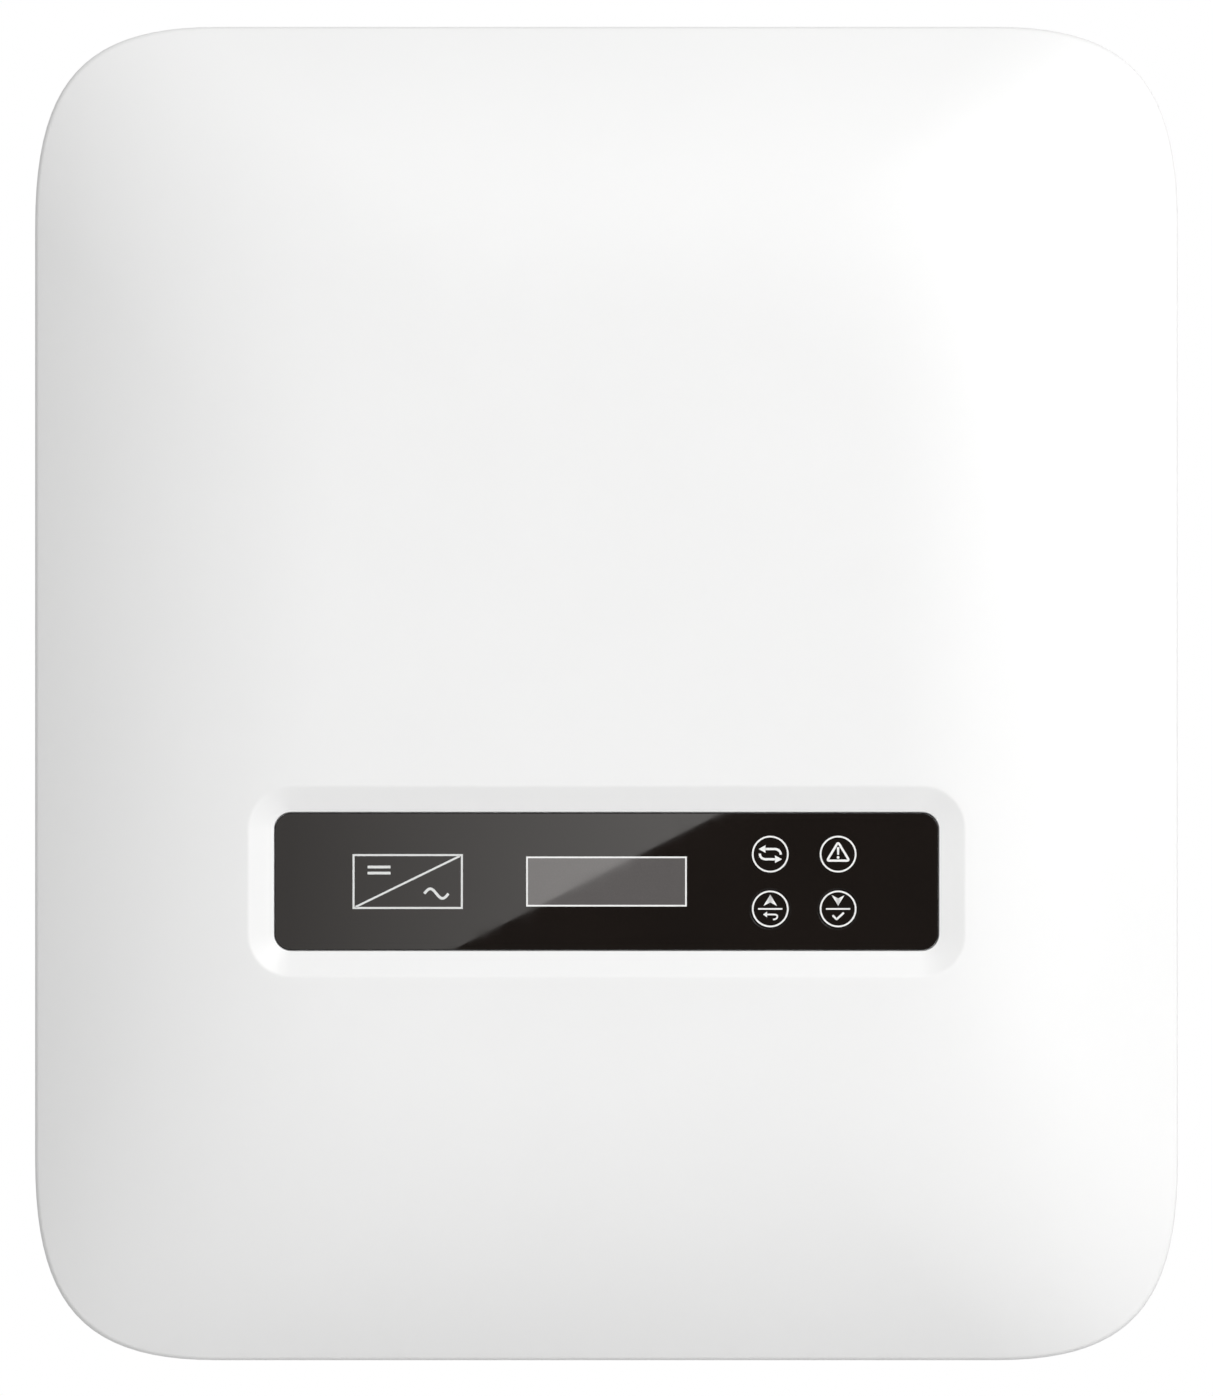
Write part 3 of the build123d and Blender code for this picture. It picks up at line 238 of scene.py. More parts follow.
def drawn_metal(name, colour, roughness, stretch, change=0.86):
    """Metal with fine lines along one direction: extruded, turned or brushed."""
    nodes = Nodes(name)
    lines = nodes.noise(0.5 * mm, 3.0, stretch)
    nodes.colours(nodes.noise(25 * mm), colour, shade(colour, change))
    nodes.roughness(lines, *roughness)
    nodes.bump((lines, 0.01 * mm, 0.4))
    nodes.set(Metallic=1.0)
    return nodes.material


def galvanised(name, colour):
    """Zinc-coated sheet with its spangle of crystals."""
    nodes = Nodes(name)
    crystals = nodes.cells(7 * mm)
    nodes.colours(crystals.outputs["Color"], colour, shade(colour, 0.8), (0.0, 1.0))
    nodes.roughness(crystals.outputs["Color"], 0.34, 0.5)
    nodes.bump((nodes.noise(2.5 * mm), 0.01 * mm, 0.4), (crystals.outputs["Distance"], 0.02 * mm, 0.15))
    nodes.set(Metallic=1.0)
    return nodes.material


def board(name, colour):
    """Solder mask over copper tracks, which run along the board."""
    nodes = Nodes(name)
    tracks = nodes.cells(1.6 * mm, (1, 1, 6))
    nodes.colours(tracks.outputs["Color"], colour, shade(colour, 0.6), (0.2, 0.8))
    nodes.roughness(nodes.noise(5 * mm), 0.28, 0.4)
    nodes.bump((tracks.outputs["Color"], 0.03 * mm, 0.4))
    return nodes.material


def wound(name, colour, metallic=0.0):
    """Turns of enamelled wire or a sleeve's fine rings."""
    nodes = Nodes(name)
    rings = nodes.add("ShaderNodeTexWave", bands_direction="Y")
    rings.inputs["Scale"].default_value = 1 / (9 * mm)
    rings.inputs["Distortion"].default_value = 0.4
    nodes.join(nodes.here, rings.inputs["Vector"])
    nodes.colours(rings.outputs["Fac"], colour, shade(colour, 0.7), (0.0, 1.0))
    nodes.roughness(nodes.noise(4 * mm), 0.25, 0.4)
    nodes.bump((rings.outputs["Fac"], 0.15 * mm, 0.5))
    nodes.set(Metallic=metallic)
    return nodes.material


def glossy_window(name):
    """The window's acrylic sheet with black ink behind it: nearly a mirror, with the faintest ripple."""
    nodes = Nodes(name)
    nodes.colours(nodes.noise(30 * mm), (0.0100, 0.0072, 0.0058), (0.0088, 0.0064, 0.0052))
    nodes.roughness(nodes.noise(7 * mm), 0.003, 0.012)
    nodes.bump((nodes.noise(45 * mm, 1.0), 0.002 * mm, 0.1))
    nodes.set(IOR=1.5)
    return nodes.material


def display_glass(name):
    """The unlit display as it shows through the window: a grey film of fine cells."""
    nodes = Nodes(name)
    cells = nodes.cells(0.45 * mm)
    nodes.colours(cells.outputs["Distance"], (0.118, 0.109, 0.107), (0.108, 0.101, 0.099), (0.0, 0.6))
    nodes.roughness(nodes.noise(6 * mm), 0.004, 0.014)
    nodes.bump((nodes.noise(45 * mm, 1.0), 0.002 * mm, 0.1))
    nodes.set(IOR=1.62)
    return nodes.material


def ink(name, colour):
    """Screen-printed ink: a slightly uneven, matt film."""
    nodes = Nodes(name)
    nodes.colours(nodes.noise(1.5 * mm), colour, shade(colour, 0.96))
    nodes.roughness(nodes.noise(2.0 * mm), 0.4, 0.55)
    nodes.bump((nodes.noise(0.3 * mm, 2.0), 0.005 * mm, 0.4))
    return nodes.material


white_ink = ink("white_ink", (0.86, 0.86, 0.85))
grey_ink = ink("grey_ink", (0.72, 0.73, 0.72))
display_film = display_glass("display_film")
finishes = {
    "cover_white": painted("cover_white", (0.845, 0.845, 0.842), (0.36, 0.43), 2.2 * mm, 0.006 * mm, 0.992),
    "chassis_paint": painted("chassis_paint", (0.42, 0.43, 0.44), (0.46, 0.6), 0.9 * mm, 0.03 * mm, 0.94),
    "heat_sink_metal": drawn_metal("heat_sink_metal", (0.66, 0.67, 0.68), (0.3, 0.46), (1, 1, 0.03)),
    "zinc_steel": galvanised("zinc_steel", (0.66, 0.67, 0.68)),
    "screw_steel": drawn_metal("screw_steel", (0.68, 0.68, 0.67), (0.2, 0.34), (1, 1, 1)),
    "brass": drawn_metal("brass", (0.78, 0.6, 0.29), (0.22, 0.36), (1, 1, 0.2)),
    "contact_tin": drawn_metal("contact_tin", (0.75, 0.75, 0.73), (0.22, 0.36), (1, 1, 0.2)),
    "window_black": glossy_window("window_black"),
    "lcd_glass": display_glass("lcd_glass"),
    "rubber": moulded("rubber", (0.022, 0.022, 0.023), (0.65, 0.85), 0.6 * mm, 0.04 * mm),
    "black_plastic": moulded("black_plastic", (0.018, 0.018, 0.019), (0.36, 0.52)),
    "grey_plastic": moulded("grey_plastic", (0.23, 0.24, 0.25), (0.38, 0.52)),
    "clear_plastic": moulded("clear_plastic", (0.75, 0.78, 0.78), (0.12, 0.22), Transmission_Weight=0.6),
    "board_green": board("board_green", (0.02, 0.15, 0.06)),
    "ribbon_grey": moulded("ribbon_grey", (0.45, 0.46, 0.47), (0.4, 0.55), 0.8 * mm),
    "module_resin": moulded("module_resin", (0.05, 0.05, 0.052), (0.5, 0.65)),
    "capacitor_sleeve": wound("capacitor_sleeve", (0.02, 0.025, 0.035)),
    "film_box": moulded("film_box", (0.32, 0.34, 0.36), (0.35, 0.5)),
    "ferrite": moulded("ferrite", (0.06, 0.062, 0.06), (0.6, 0.8), 0.8 * mm, 0.05 * mm),
    "varistor_blue": moulded("varistor_blue", (0.03, 0.09, 0.35), (0.3, 0.45)),
    "terminal_green": moulded("terminal_green", (0.03, 0.3, 0.1), (0.35, 0.5)),
    "winding_copper": wound("winding_copper", (0.7, 0.3, 0.14), 1.0),
    "fibre_board": moulded("fibre_board", (0.42, 0.33, 0.18), (0.6, 0.8), 1.0 * mm, 0.05 * mm),
    "lead_red": moulded("lead_red", (0.5, 0.02, 0.02), (0.35, 0.5)),
    "lead_black": moulded("lead_black", (0.02, 0.02, 0.02), (0.35, 0.5)),
    "lead_brown": moulded("lead_brown", (0.17, 0.07, 0.03), (0.35, 0.5)),
    "lead_grey": moulded("lead_grey", (0.3, 0.3, 0.31), (0.4, 0.55)),
}


def soften(node, width, angle=32):
    """Rounds a CAD node's sharp edges a little, as moulding, casting and folding do."""
    welded = node.modifiers.new("weld", "WELD")
    welded.merge_threshold = 0.002 * mm
    flat = node.modifiers.new("flat", "DECIMATE")
    flat.decimate_type = "DISSOLVE"
    flat.angle_limit = math.radians(0.6)
    bevel = node.modifiers.new("bevel", "BEVEL")
    bevel.width = width
    bevel.segments = 2
    bevel.limit_method = "ANGLE"
    bevel.angle_limit = math.radians(angle)
    bevel.harden_normals = True
    bevel.use_clamp_overlap = True


# ---------------------------------------------------------------- the cover
def drop(inset):
    """How far the pillow lies behind its flat middle, at an inset from the outline."""
    return crown * max(0.0, 1 - inset / crown_margin) ** crown_power


def slope(inset):
    return crown * crown_power / crown_margin * max(0.0, 1 - inset / crown_margin) ** (crown_power - 1)


def corner(t):
    """A point of the top right corner curve and its outward normal. t goes from the side to the top."""
    points = [(half_x, half_z - run_z), (half_x, half_z - run_z * (1 - fullness)),
              (half_x - run_x * (1 - fullness), half_z), (half_x - run_x, half_z)]
    weights = ((1 - t) ** 3, 3 * t * (1 - t) ** 2, 3 * t * t * (1 - t), t ** 3)
    rates = ((1 - t) ** 2, 2 * t * (1 - t), t * t)
    x, z = (sum(w * p[i] for w, p in zip(weights, points)) for i in (0, 1))
    dx, dz = (sum(r * (b[i] - a[i]) for r, a, b in zip(rates, points, points[1:])) for i in (0, 1))
    length = math.hypot(dx, dz)
    return x, z, dz / length, -dx / length


def outline(side_steps=8, corner_steps=22):
    """Points and outward normals round the cover, from the middle of the right side by way of the top."""
    flat = [(half_x, (half_z - run_z) * i / side_steps, 1.0, 0.0) for i in range(side_steps)]
    curve = [corner(i / corner_steps) for i in range(corner_steps + 1)]
    top = [((half_x - run_x) * (1 - i / side_steps), half_z, 0.0, 1.0) for i in range(1, side_steps + 1)]
    quarter = flat + curve + top
    half = quarter + [(-x, z, -nx, nz) for x, z, nx, nz in reversed(quarter[:-1])]
    return half + [(x, -z, nx, -nz) for x, z, nx, nz in reversed(half[1:-1])]


def moved_in(station, inset):
    """A station of the outline on the smaller outline at an inset."""
    x, z = station[:2]
    return (x - inset * max(-1.0, min(1.0, x / (half_x - run_x))),
            z - inset * max(-1.0, min(1.0, z / (half_z - run_z))))


def inset_at(x, z):
    """The inset of the outline through a point, and that outline's normal there."""
    ax, az = abs(x), abs(z)
    if az - ax <= half_z - run_z - half_x:
        inset, nx, nz = half_x - ax, 1.0, 0.0
    elif ax - az <= half_x - run_x - half_z:
        inset, nx, nz = half_z - az, 0.0, 1.0
    else:
        low, high = 0.0, 1.0
        for _ in range(30):
            t = (low + high) / 2
            cx, cz, nx, nz = corner(t)
            low, high = (t, high) if cx - cz > ax - az else (low, t)
        inset = cx - ax
    return inset, math.copysign(nx, x), math.copysign(nz, z)


def pillow(x, z, shift=0.0):
    """The pillow's depth and outward normal at a point. shift is how far a skin lies inside the outer one."""
    inset, nx, nz = inset_at(x, z)
    g = slope(max(0.0, inset - shift)) / (abs(nx) + abs(nz))
    return front_depth - shift - drop(max(0.0, inset - shift)), Vector((nx * g, -1, nz * g)).normalized()


class Skin:
    """A mesh made of single faces and of strips between loops. A loop is a list of (point, normal)."""

    def __init__(self):
        self.index, self.points, self.faces, self.normals = {}, [], [], []

    def vertex(self, point):
        key = tuple(round(c / (0.0005 * mm)) for c in point)
        if key not in self.index:
            self.index[key] = len(self.points)
            self.points.append(point)
        return self.index[key]

    def face(self, corners):
        """Adds a face, turned so that it looks along its normals."""
        kept = []
        for point, normal in corners:
            v = self.vertex(point)
            if v not in [k[0] for k in kept]:
                kept.append((v, point, normal))
        if len(kept) < 3:
            return
        across = Vector()
        for a, b in zip(kept, kept[1:] + kept[:1]):
            across += a[1].cross(b[1])
        if across.dot(sum((k[2] for k in kept), Vector())) < 0:
            kept.reverse()
        self.faces.append([k[0] for k in kept])
        self.normals += [k[2] for k in kept]

    def strip(self, first, second):
        for i in range(len(first)):
            self.face([first[i - 1], first[i], second[i], second[i - 1]])

    def strips(self, loops):
        for first, second in zip(loops, loops[1:]):
            self.strip(first, second)

    def piece(self, name, body, slot, material=None):
        mesh = bpy.data.meshes.new(name)
        mesh.from_pydata(self.points, [], self.faces)
        mesh.update()
        mesh.shade_smooth()
        mesh.normals_split_custom_set(self.normals)
        made = bpy.data.objects.new(name, mesh)
        scene.collection.objects.link(made)
        mesh.materials.append(material or finishes[slot])
        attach(made, body)
        return made


def rounded(half_width, half_height, radius, middle=(0.0, 0.0), steps=(28, 6), arc_steps=10):
    """A rounded rectangle's points and outward normals. With the same steps, they match point for point."""
    stations = []
    flat_x, flat_z = half_width - radius, half_height - radius
    corners = ((flat_x, flat_z, 0), (-flat_x, flat_z, 90), (-flat_x, -flat_z, 180), (flat_x, -flat_z, 270))
    for i, (cx, cz, turn) in enumerate(corners):
        for j in range(arc_steps + 1):
            a = math.radians(turn + 90 * j / arc_steps)
            nx, nz = math.cos(a), math.sin(a)
            stations.append((cx + radius * nx, cz + radius * nz, nx, nz))
        x, z, nx, nz = stations[-1]
        following = corners[(i + 1) % 4]
        count = steps[i % 2]
        end_x, end_z = following[0] + radius * nx, following[1] + radius * nz
        stations += [(x + (end_x - x) * j / count, z + (end_z - z) * j / count, nx, nz)
                     for j in range(1, count)]
    return [(x + middle[0], z + middle[1], nx, nz) for x, z, nx, nz in stations]


def recess(border):
    """The outline a border's width out from the window's opening."""
    radius = window_corner + window_gap + border * (recess_corner - window_corner) / recess_border
    out = window_gap + border
    return rounded(window_x + out, window_z + out, radius, (0.0, window_middle))


def fill(skin, outer, hole, spacing, edge_inset, surface):
    """Triangles between an outline of the pillow and a hole in it.

    They lie on a surface(x, z) -> (depth, normal).
    """
    count = len(outer)
    clear = 0.6 * spacing
    flat = [Vector(p) for p in outer + hole]
    edges = [(i, (i + 1) % count) for i in range(count)]
    edges += [(count + i, count + (i + 1) % len(hole)) for i in range(len(hole))]
    hole_x = max(x for x, _ in hole) + clear
    hole_low = min(z for _, z in hole) - clear
    hole_high = max(z for _, z in hole) + clear
    across, up = int(half_x / spacing), int(half_z / spacing)
    for i in range(-across, across + 1):
        for j in range(-up, up + 1):
            x, z = i * spacing, (j + 0.5 * (i % 2)) * spacing
            outside_hole = abs(x) > hole_x or not hole_low < z < hole_high
            if outside_hole and inset_at(x, z)[0] > edge_inset + clear:
                flat.append(Vector((x, z)))
    points, _, faces, sources, _, _ = delaunay_2d_cdt([p / mm for p in flat], edges, [], 0, 1e-6)
    in_hole = [any(count <= s < count + len(hole) for s in source) for source in sources]
    for face in faces:
        if not all(in_hole[v] for v in face):
            corners = []
            for v in face:
                x, z = points[v] * mm
                depth, normal = surface(x, z)
                corners.append((place(x, depth, z), normal))
            skin.face(corners)


def cover_skin(skin):
    """The outside: rim, side wall, shoulder and the pillow's rolled border.

    Returns the outline's stations and the last loop's inset.
    """
    rim_steps, shoulder_steps, border_steps = 3, 7, 20
    stations = outline()
    loops = []
    for i in range(rim_steps + 1):
        a = math.radians(-90 + 90 * i / rim_steps)
        back, depth = rim_radius * (1 - math.cos(a)), rim_depth + rim_radius * (1 + math.sin(a))
        loops.append([(place(*with_depth(s, back, depth)),
                       Vector((s[2] * math.cos(a), -math.sin(a), s[3] * math.cos(a)))) for s in stations])
    for share in (0.5, 1.0):
        loops.append([(place(*with_depth(s, 0.0, rim_depth + (shoulder_centre(s) - rim_depth) * share)),
                       Vector((s[2], 0, s[3]))) for s in stations])
    for i in range(1, shoulder_steps + 1):
        loop = []
        for s in stations:
            a = math.atan2(1, edge_slope(s)) * i / shoulder_steps
            back = shoulder_radius * (1 - math.cos(a))
            depth = shoulder_centre(s) + shoulder_radius * math.sin(a)
            x, z, nx, nz = s
            loop.append((place(x - nx * back, depth, z - nz * back),
                         Vector((nx * math.cos(a), -math.sin(a), nz * math.cos(a)))))
        loops.append(loop)
    insets = [(2 + 60 * (i / border_steps) ** 1.1) * mm for i in range(border_steps + 1)]
    for inset in insets:
        loops.append([(place(*with_depth(s, inset, front_depth - drop(inset))), border_normal(s, inset))
                      for s in stations])
    skin.strips(loops)
    return stations, insets[-1]


def with_depth(station, inset, depth):
    x, z = moved_in(station, inset)
    return x, depth, z


def edge_slope(station):
    return slope(0.0) / (abs(station[2]) + abs(station[3]))


def shoulder_centre(station):
    """Depth of the centre of the shoulder's rounding, which touches the side wall and the pillow."""
    g = edge_slope(station)
    return shoulder_depth + shoulder_radius * (g - math.sqrt(1 + g * g))


def border_normal(station, inset):
    nx, nz = station[2:]
    g = slope(inset) / (abs(nx) + abs(nz))
    return Vector((nx * g, -1, nz * g)).normalized()


def recess_skin(skin, outer, edge_inset):
    """The flat middle of the pillow and the recess round the window, down to the ledge it lies on."""
    front = Vector((0, -1, 0))
    mouth, soft = recess(recess_border), recess(recess_border + recess_softness)
    inner = recess(recess_border - recess_softness)
    floor_edge = recess(0.0)
    mouth_depth = [pillow(x, z)[0] for x, z, _, _ in mouth]
    slopes = [(d - window_front) / recess_border for d in mouth_depth]
    fill(skin, outer, [(x, z) for x, z, _, _ in soft], outside_spacing, edge_inset, pillow)
    loops = []
    steps = 6
    for i in range(steps + 1):
        t = i / steps
        loop = []
        for s, m, n, depth, g in zip(soft, mouth, inner, mouth_depth, slopes):
            top, top_normal = pillow(s[0], s[1])
            weights = ((1 - t) ** 2, 2 * t * (1 - t), t * t)
            x = sum(w * p[0] for w, p in zip(weights, (s, m, n)))
            z = sum(w * p[1] for w, p in zip(weights, (s, m, n)))
            d = sum(w * p for w, p in zip(weights, (top, depth, depth - g * recess_softness)))
            bevel_normal = Vector((-m[2] * g, -1, -m[3] * g)).normalized()
            loop.append((place(x, d, z), top_normal.lerp(bevel_normal, t).normalized()))
        loops.append(loop)
    low_border = 0.35 * mm
    for border in (recess_border / 2, low_border):
        loops.append([(place(s[0], window_front + g * border, s[1]),
                       Vector((-s[2] * g, -1, -s[3] * g)).normalized())
                      for s, g in zip(recess(border), slopes)])
    loops.append([(place(s[0], window_front - low_border / 2, s[1]), Vector((-s[2], 0, -s[3])))
                  for s in floor_edge])
    skin.strips(loops)
    opening = rounded(window_x - ledge_width, window_z - ledge_width, 0.5 * mm, (0.0, window_middle))
    well = [[(place(s[0], depth, s[1]), Vector((-s[2], 0, -s[3]))) for s in floor_edge]
            for depth in (window_front - low_border / 2, ledge_depth)]
    ledge = [[(place(s[0], ledge_depth, s[1]), front) for s in loop] for loop in (floor_edge, opening)]
    throat = [[(place(s[0], depth, s[1]), Vector((-s[2], 0, -s[3]))) for s in opening]
              for depth in (ledge_depth, ledge_back)]
    for loops in (well, ledge, throat):
        skin.strips(loops)
    return opening


def inside_skin(skin, stations, opening):
    """The inside of the cover, joined to the rim and to the window's opening."""
    back = Vector((0, 1, 0))
    rim = [[(place(*with_depth(s, inset, rim_depth)), back) for s in stations]
           for inset in (rim_radius, wall)]
    side = [[(place(*with_depth(s, wall, depth)), Vector((-s[2], 0, -s[3]))) for s in stations]
            for depth in (rim_depth, shoulder_depth - wall)]
    border_reach, border_steps = 57 * mm, 12
    ways_in = [border_reach * (i / border_steps) ** 1.2 for i in range(border_steps + 1)]
    border = [[(place(*with_depth(s, wall + way, front_depth - wall - drop(way))), -border_normal(s, way))
               for s in stations] for way in ways_in]
    for loops in (rim, side, border):
        skin.strips(loops)

    def under_pillow(x, z):
        depth, normal = pillow(x, z, wall)
        return depth, -normal

    out = recess_border + pocket_wall
    pocket = rounded(window_x + out, window_z + out, 0.5 * mm, (0.0, window_middle))
    edge_inset = wall + ways_in[-1]
    outer = [moved_in(s, edge_inset) for s in stations]
    fill(skin, outer, [(x, z) for x, z, _, _ in pocket], inside_spacing, edge_inset, under_pillow)
    walls = [[(place(s[0], under_pillow(s[0], s[1])[0], s[1]), Vector((s[2], 0, s[3]))) for s in pocket],
             [(place(s[0], ledge_back, s[1]), Vector((s[2], 0, s[3]))) for s in pocket]]
    floor = [[(place(s[0], ledge_back, s[1]), back) for s in loop] for loop in (pocket, opening)]
    skin.strips(walls)
    skin.strips(floor)


def screw_bosses(skin, steps=24):
    """A boss inside the cover over each of its screws."""
    screws = frame["nodes"]["cover_screws"].data
    back_depth = -max(v.co.y for v in screws.vertices)
    middles = []
    for v in screws.vertices:
        if not any(math.hypot(v.co.x - x, v.co.z - z) < screw_apart for x, z in middles):
            near = [w.co for w in screws.vertices
                    if math.hypot(w.co.x - v.co.x, w.co.z - v.co.z) < screw_apart]
            middles.append(((min(c.x for c in near) + max(c.x for c in near)) / 2,
                            (min(c.z for c in near) + max(c.z for c in near)) / 2))
    foot = back_depth + boss_foot
    around = [(math.cos(math.tau * i / steps), math.sin(math.tau * i / steps)) for i in range(steps)]
    for x, z in middles:
        low_loops, high_loops = [], []
        for radius, side in ((boss_radius, 1), (boss_bore, -1)):
            low, high = [], []
            for c, s in around:
                px, pz = x + c * radius, z + s * radius
                normal = Vector((side * c, 0, side * s))
                low.append((place(px, foot, pz), normal))
                high.append((place(px, pillow(px, pz, wall)[0] + wall / 2, pz), normal))
            skin.strips([low, high])
            low_loops.append([(p, Vector((0, 1, 0))) for p, _ in low])
            high_loops.append([(p, Vector((0, -1, 0))) for p, _ in high])
        skin.strips(low_loops)
        skin.strips(high_loops)


def make_cover():
    skin = Skin()
    stations, edge_inset = cover_skin(skin)
    opening = recess_skin(skin, [moved_in(s, edge_inset) for s in stations], edge_inset)
    inside_skin(skin, stations, opening)
    screw_bosses(skin)
    cover = skin.piece("cover_shell", "unit", "cover_white")
    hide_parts("front_cover")


# ---------------------------------------------------------------- printed marks
class Print(Skin):
    """Thin printed film in front of the window: flat shapes with a little thickness."""

    def __init__(self, middle_x, middle_z):
        super().__init__()
        self.middle = (middle_x, middle_z)
        self.back = window_front + print_lift
        self.front = self.back + print_thickness

    def cell(self, corners):
        """A convex flat shape, its corners in order, as a thin closed slab."""
        points = [(self.middle[0] + x, self.middle[1] + z) for x, z in corners]
        for depth, y in ((self.front, -1), (self.back, 1)):
            self.face([(place(x, depth, z), Vector((0, y, 0))) for x, z in points])
        cx, cz = (sum(p[i] for p in points) / len(points) for i in (0, 1))
        for (ax, az), (bx, bz) in zip(points, points[1:] + points[:1]):
            normal = Vector((bz - az, 0, ax - bx))
            if normal.dot(Vector((ax - cx, 0, az - cz))) < 0:
                normal = -normal
            normal.normalize()
            self.face([(place(ax, self.front, az), normal), (place(bx, self.front, bz), normal),
                       (place(bx, self.back, bz), normal), (place(ax, self.back, az), normal)])

    def band(self, outer, inner):
        """A closed band between two loops of matching points."""
        both = [[(self.middle[0] + x, self.middle[1] + z) for x, z in loop] for loop in (outer, inner)]
        for depth, y in ((self.front, -1), (self.back, 1)):
            self.strip(*[[(place(x, depth, z), Vector((0, y, 0))) for x, z in loop] for loop in both])
        for loop, sign in zip(both, (1, -1)):
            walls = [[], []]
            for i, (x, z) in enumerate(loop):
                (ax, az), (bx, bz) = loop[i - 1], loop[(i + 1) % len(loop)]
                normal = Vector((bz - az, 0, ax - bx)).normalized() * sign
                walls[0].append((place(x, self.front, z), normal))
                walls[1].append((place(x, self.back, z), normal))
            self.strip(*walls)

    def ring(self, radius, width, steps=72):
        turn = [(math.cos(math.tau * i / steps), math.sin(math.tau * i / steps)) for i in range(steps)]
        self.band([(c * (radius + width / 2), s * (radius + width / 2)) for c, s in turn],
                  [(c * (radius - width / 2), s * (radius - width / 2)) for c, s in turn])

    def disc(self, x, z, radius, steps=24):
        self.cell([(x + radius * math.cos(math.tau * i / steps), z + radius * math.sin(math.tau * i / steps))
                   for i in range(steps)])

    def outline(self, points, width):
        """A closed line of a width through points, with square-cut corners."""
        self.band(*[offset(points, side * width / 2) for side in (1, -1)])

    def stroke(self, points, width):
        """An open line of a width, as one band with both ends closed."""
        left, right = [], []
        for i, (x, z) in enumerate(points):
            ax, az = points[max(i - 1, 0)]
            bx, bz = points[min(i + 1, len(points) - 1)]
            length = math.hypot(bx - ax, bz - az)
            nx, nz = -(bz - az) / length * width / 2, (bx - ax) / length * width / 2
            left.append((x + nx, z + nz))
            right.append((x - nx, z - nz))
        shape = [(self.middle[0] + x, self.middle[1] + z) for x, z in left + right[::-1]]
        count = len(points)
        quads = [(i, i + 1, 2 * count - 2 - i, 2 * count - 1 - i) for i in range(count - 1)]
        for depth, y in ((self.front, -1), (self.back, 1)):
            for quad in quads:
                self.face([(place(shape[i][0], depth, shape[i][1]), Vector((0, y, 0))) for i in quad])
        for a, b in zip(shape, shape[1:] + shape[:1]):
            normal = -Vector((b[1] - a[1], 0, a[0] - b[0])).normalized()
            self.face([(place(a[0], self.front, a[1]), normal), (place(b[0], self.front, b[1]), normal),
                       (place(b[0], self.back, b[1]), normal), (place(a[0], self.back, a[1]), normal)])


def offset(points, distance):
    """A closed outline moved out by a distance (in, if negative). The points go anticlockwise."""
    moved = []
    for i, (x, z) in enumerate(points):
        (ax, az), (bx, bz) = points[i - 1], points[(i + 1) % len(points)]
        first, second = Vector((z - az, ax - x)).normalized(), Vector((bz - z, x - bx)).normalized()
        both = (first + second).normalized()
        moved.append((x + both.x * distance / both.dot(first), z + both.y * distance / both.dot(first)))
    return moved


def curve(start, handle, end, steps=10):
    """Points of a curve from start to end that leans on a handle."""
    return [tuple((1 - t) ** 2 * a + 2 * t * (1 - t) * h + t * t * b for a, h, b in zip(start, handle, end))
            for t in (i / steps for i in range(steps + 1))]


def rounded_triangle(half_base, low, high, radius, steps=6):
    """A triangle, point up, whose corners are rounded."""
    corners = [(-half_base, low), (half_base, low), (0.0, high)]
    points = []
    for i, here in enumerate(corners):
        ways = []
        for other in (corners[i - 1], corners[(i + 1) % 3]):
            length = math.hypot(other[0] - here[0], other[1] - here[1])
            ways.append(tuple(h + (o - h) / length * radius for h, o in zip(here, other)))
        points += curve(ways[0], here, ways[1], steps)
    return points


def scaled(points):
    """Points given in millimetres."""
    return [(x * mm, z * mm) for x, z in points]


def rectangle(half_width, half_height):
    """A rectangle's corners, anticlockwise from the lower left."""
    return [(-half_width, -half_height), (half_width, -half_height), (half_width, half_height),
            (-half_width, half_height)]


def exchange_icon(art):
    """Two arrows that pass each other: power flows."""
    art.ring(icon_radius, icon_line)
    for turn in (1, -1):
        art.cell(scaled([(-3.65 * turn, 1.6 * turn), (-1.5 * turn, 0.4 * turn), (-1.5 * turn, 2.8 * turn)]))
        shaft = [(-1.6, 1.6), (1.0, 1.6)] + curve((1.6, 1.6), (3.2, 1.4), (3.3, -0.15), 8)
        art.stroke(scaled([(x * turn, z * turn) for x, z in shaft]), flow_line)


def warning_icon(art):
    """A triangle with a bar and a dot: fault."""
    art.ring(icon_radius, icon_line)
    art.outline(scaled(rounded_triangle(3.5, -2.05, 3.75, 0.8)), triangle_line)
    art.cell(scaled([(-0.4, 2.2), (-0.26, -0.2), (0.26, -0.2), (0.4, 2.2)]))
    art.disc(0, -1.05 * mm, 0.44 * mm)


def key_rule(art):
    art.ring(icon_radius, icon_line)
    art.stroke(scaled([(-3.8, 0.0), (3.8, 0.0)]), rule_line)


def up_icon(art):
    """Up, and back: an arrow head over a line, and a hooked arrow under it."""
    key_rule(art)
    for side in (1, -1):
        art.cell(scaled([(0, 4.5), (2.13 * side, 0.96), (0, 2.0)]))
    art.cell(scaled([(-2.3, -1.75), (-1.0, -2.65), (-1.0, -0.85)]))
    art.stroke(scaled([(-1.05, -1.75), (1.0, -1.75)] + curve((1.3, -1.75), (2.3, -1.8), (2.2, -2.5), 6)
                      + curve((2.15, -2.7), (1.9, -3.3), (0.9, -3.3), 6)), rule_line)


def down_icon(art):
    """Down, and confirm: an arrow head over a line, and a tick under it."""
    key_rule(art)
    for side in (1, -1):
        art.cell(scaled([(0, 0.96), (2.0 * side, 4.3), (0, 3.3)]))
    art.stroke(scaled([(-1.7, -2.0), (-0.75, -3.0)] + curve((-0.55, -3.2), (-0.45, -3.3), (-0.3, -3.1), 4)
                      + [(1.8, -1.2)]), tick_line)


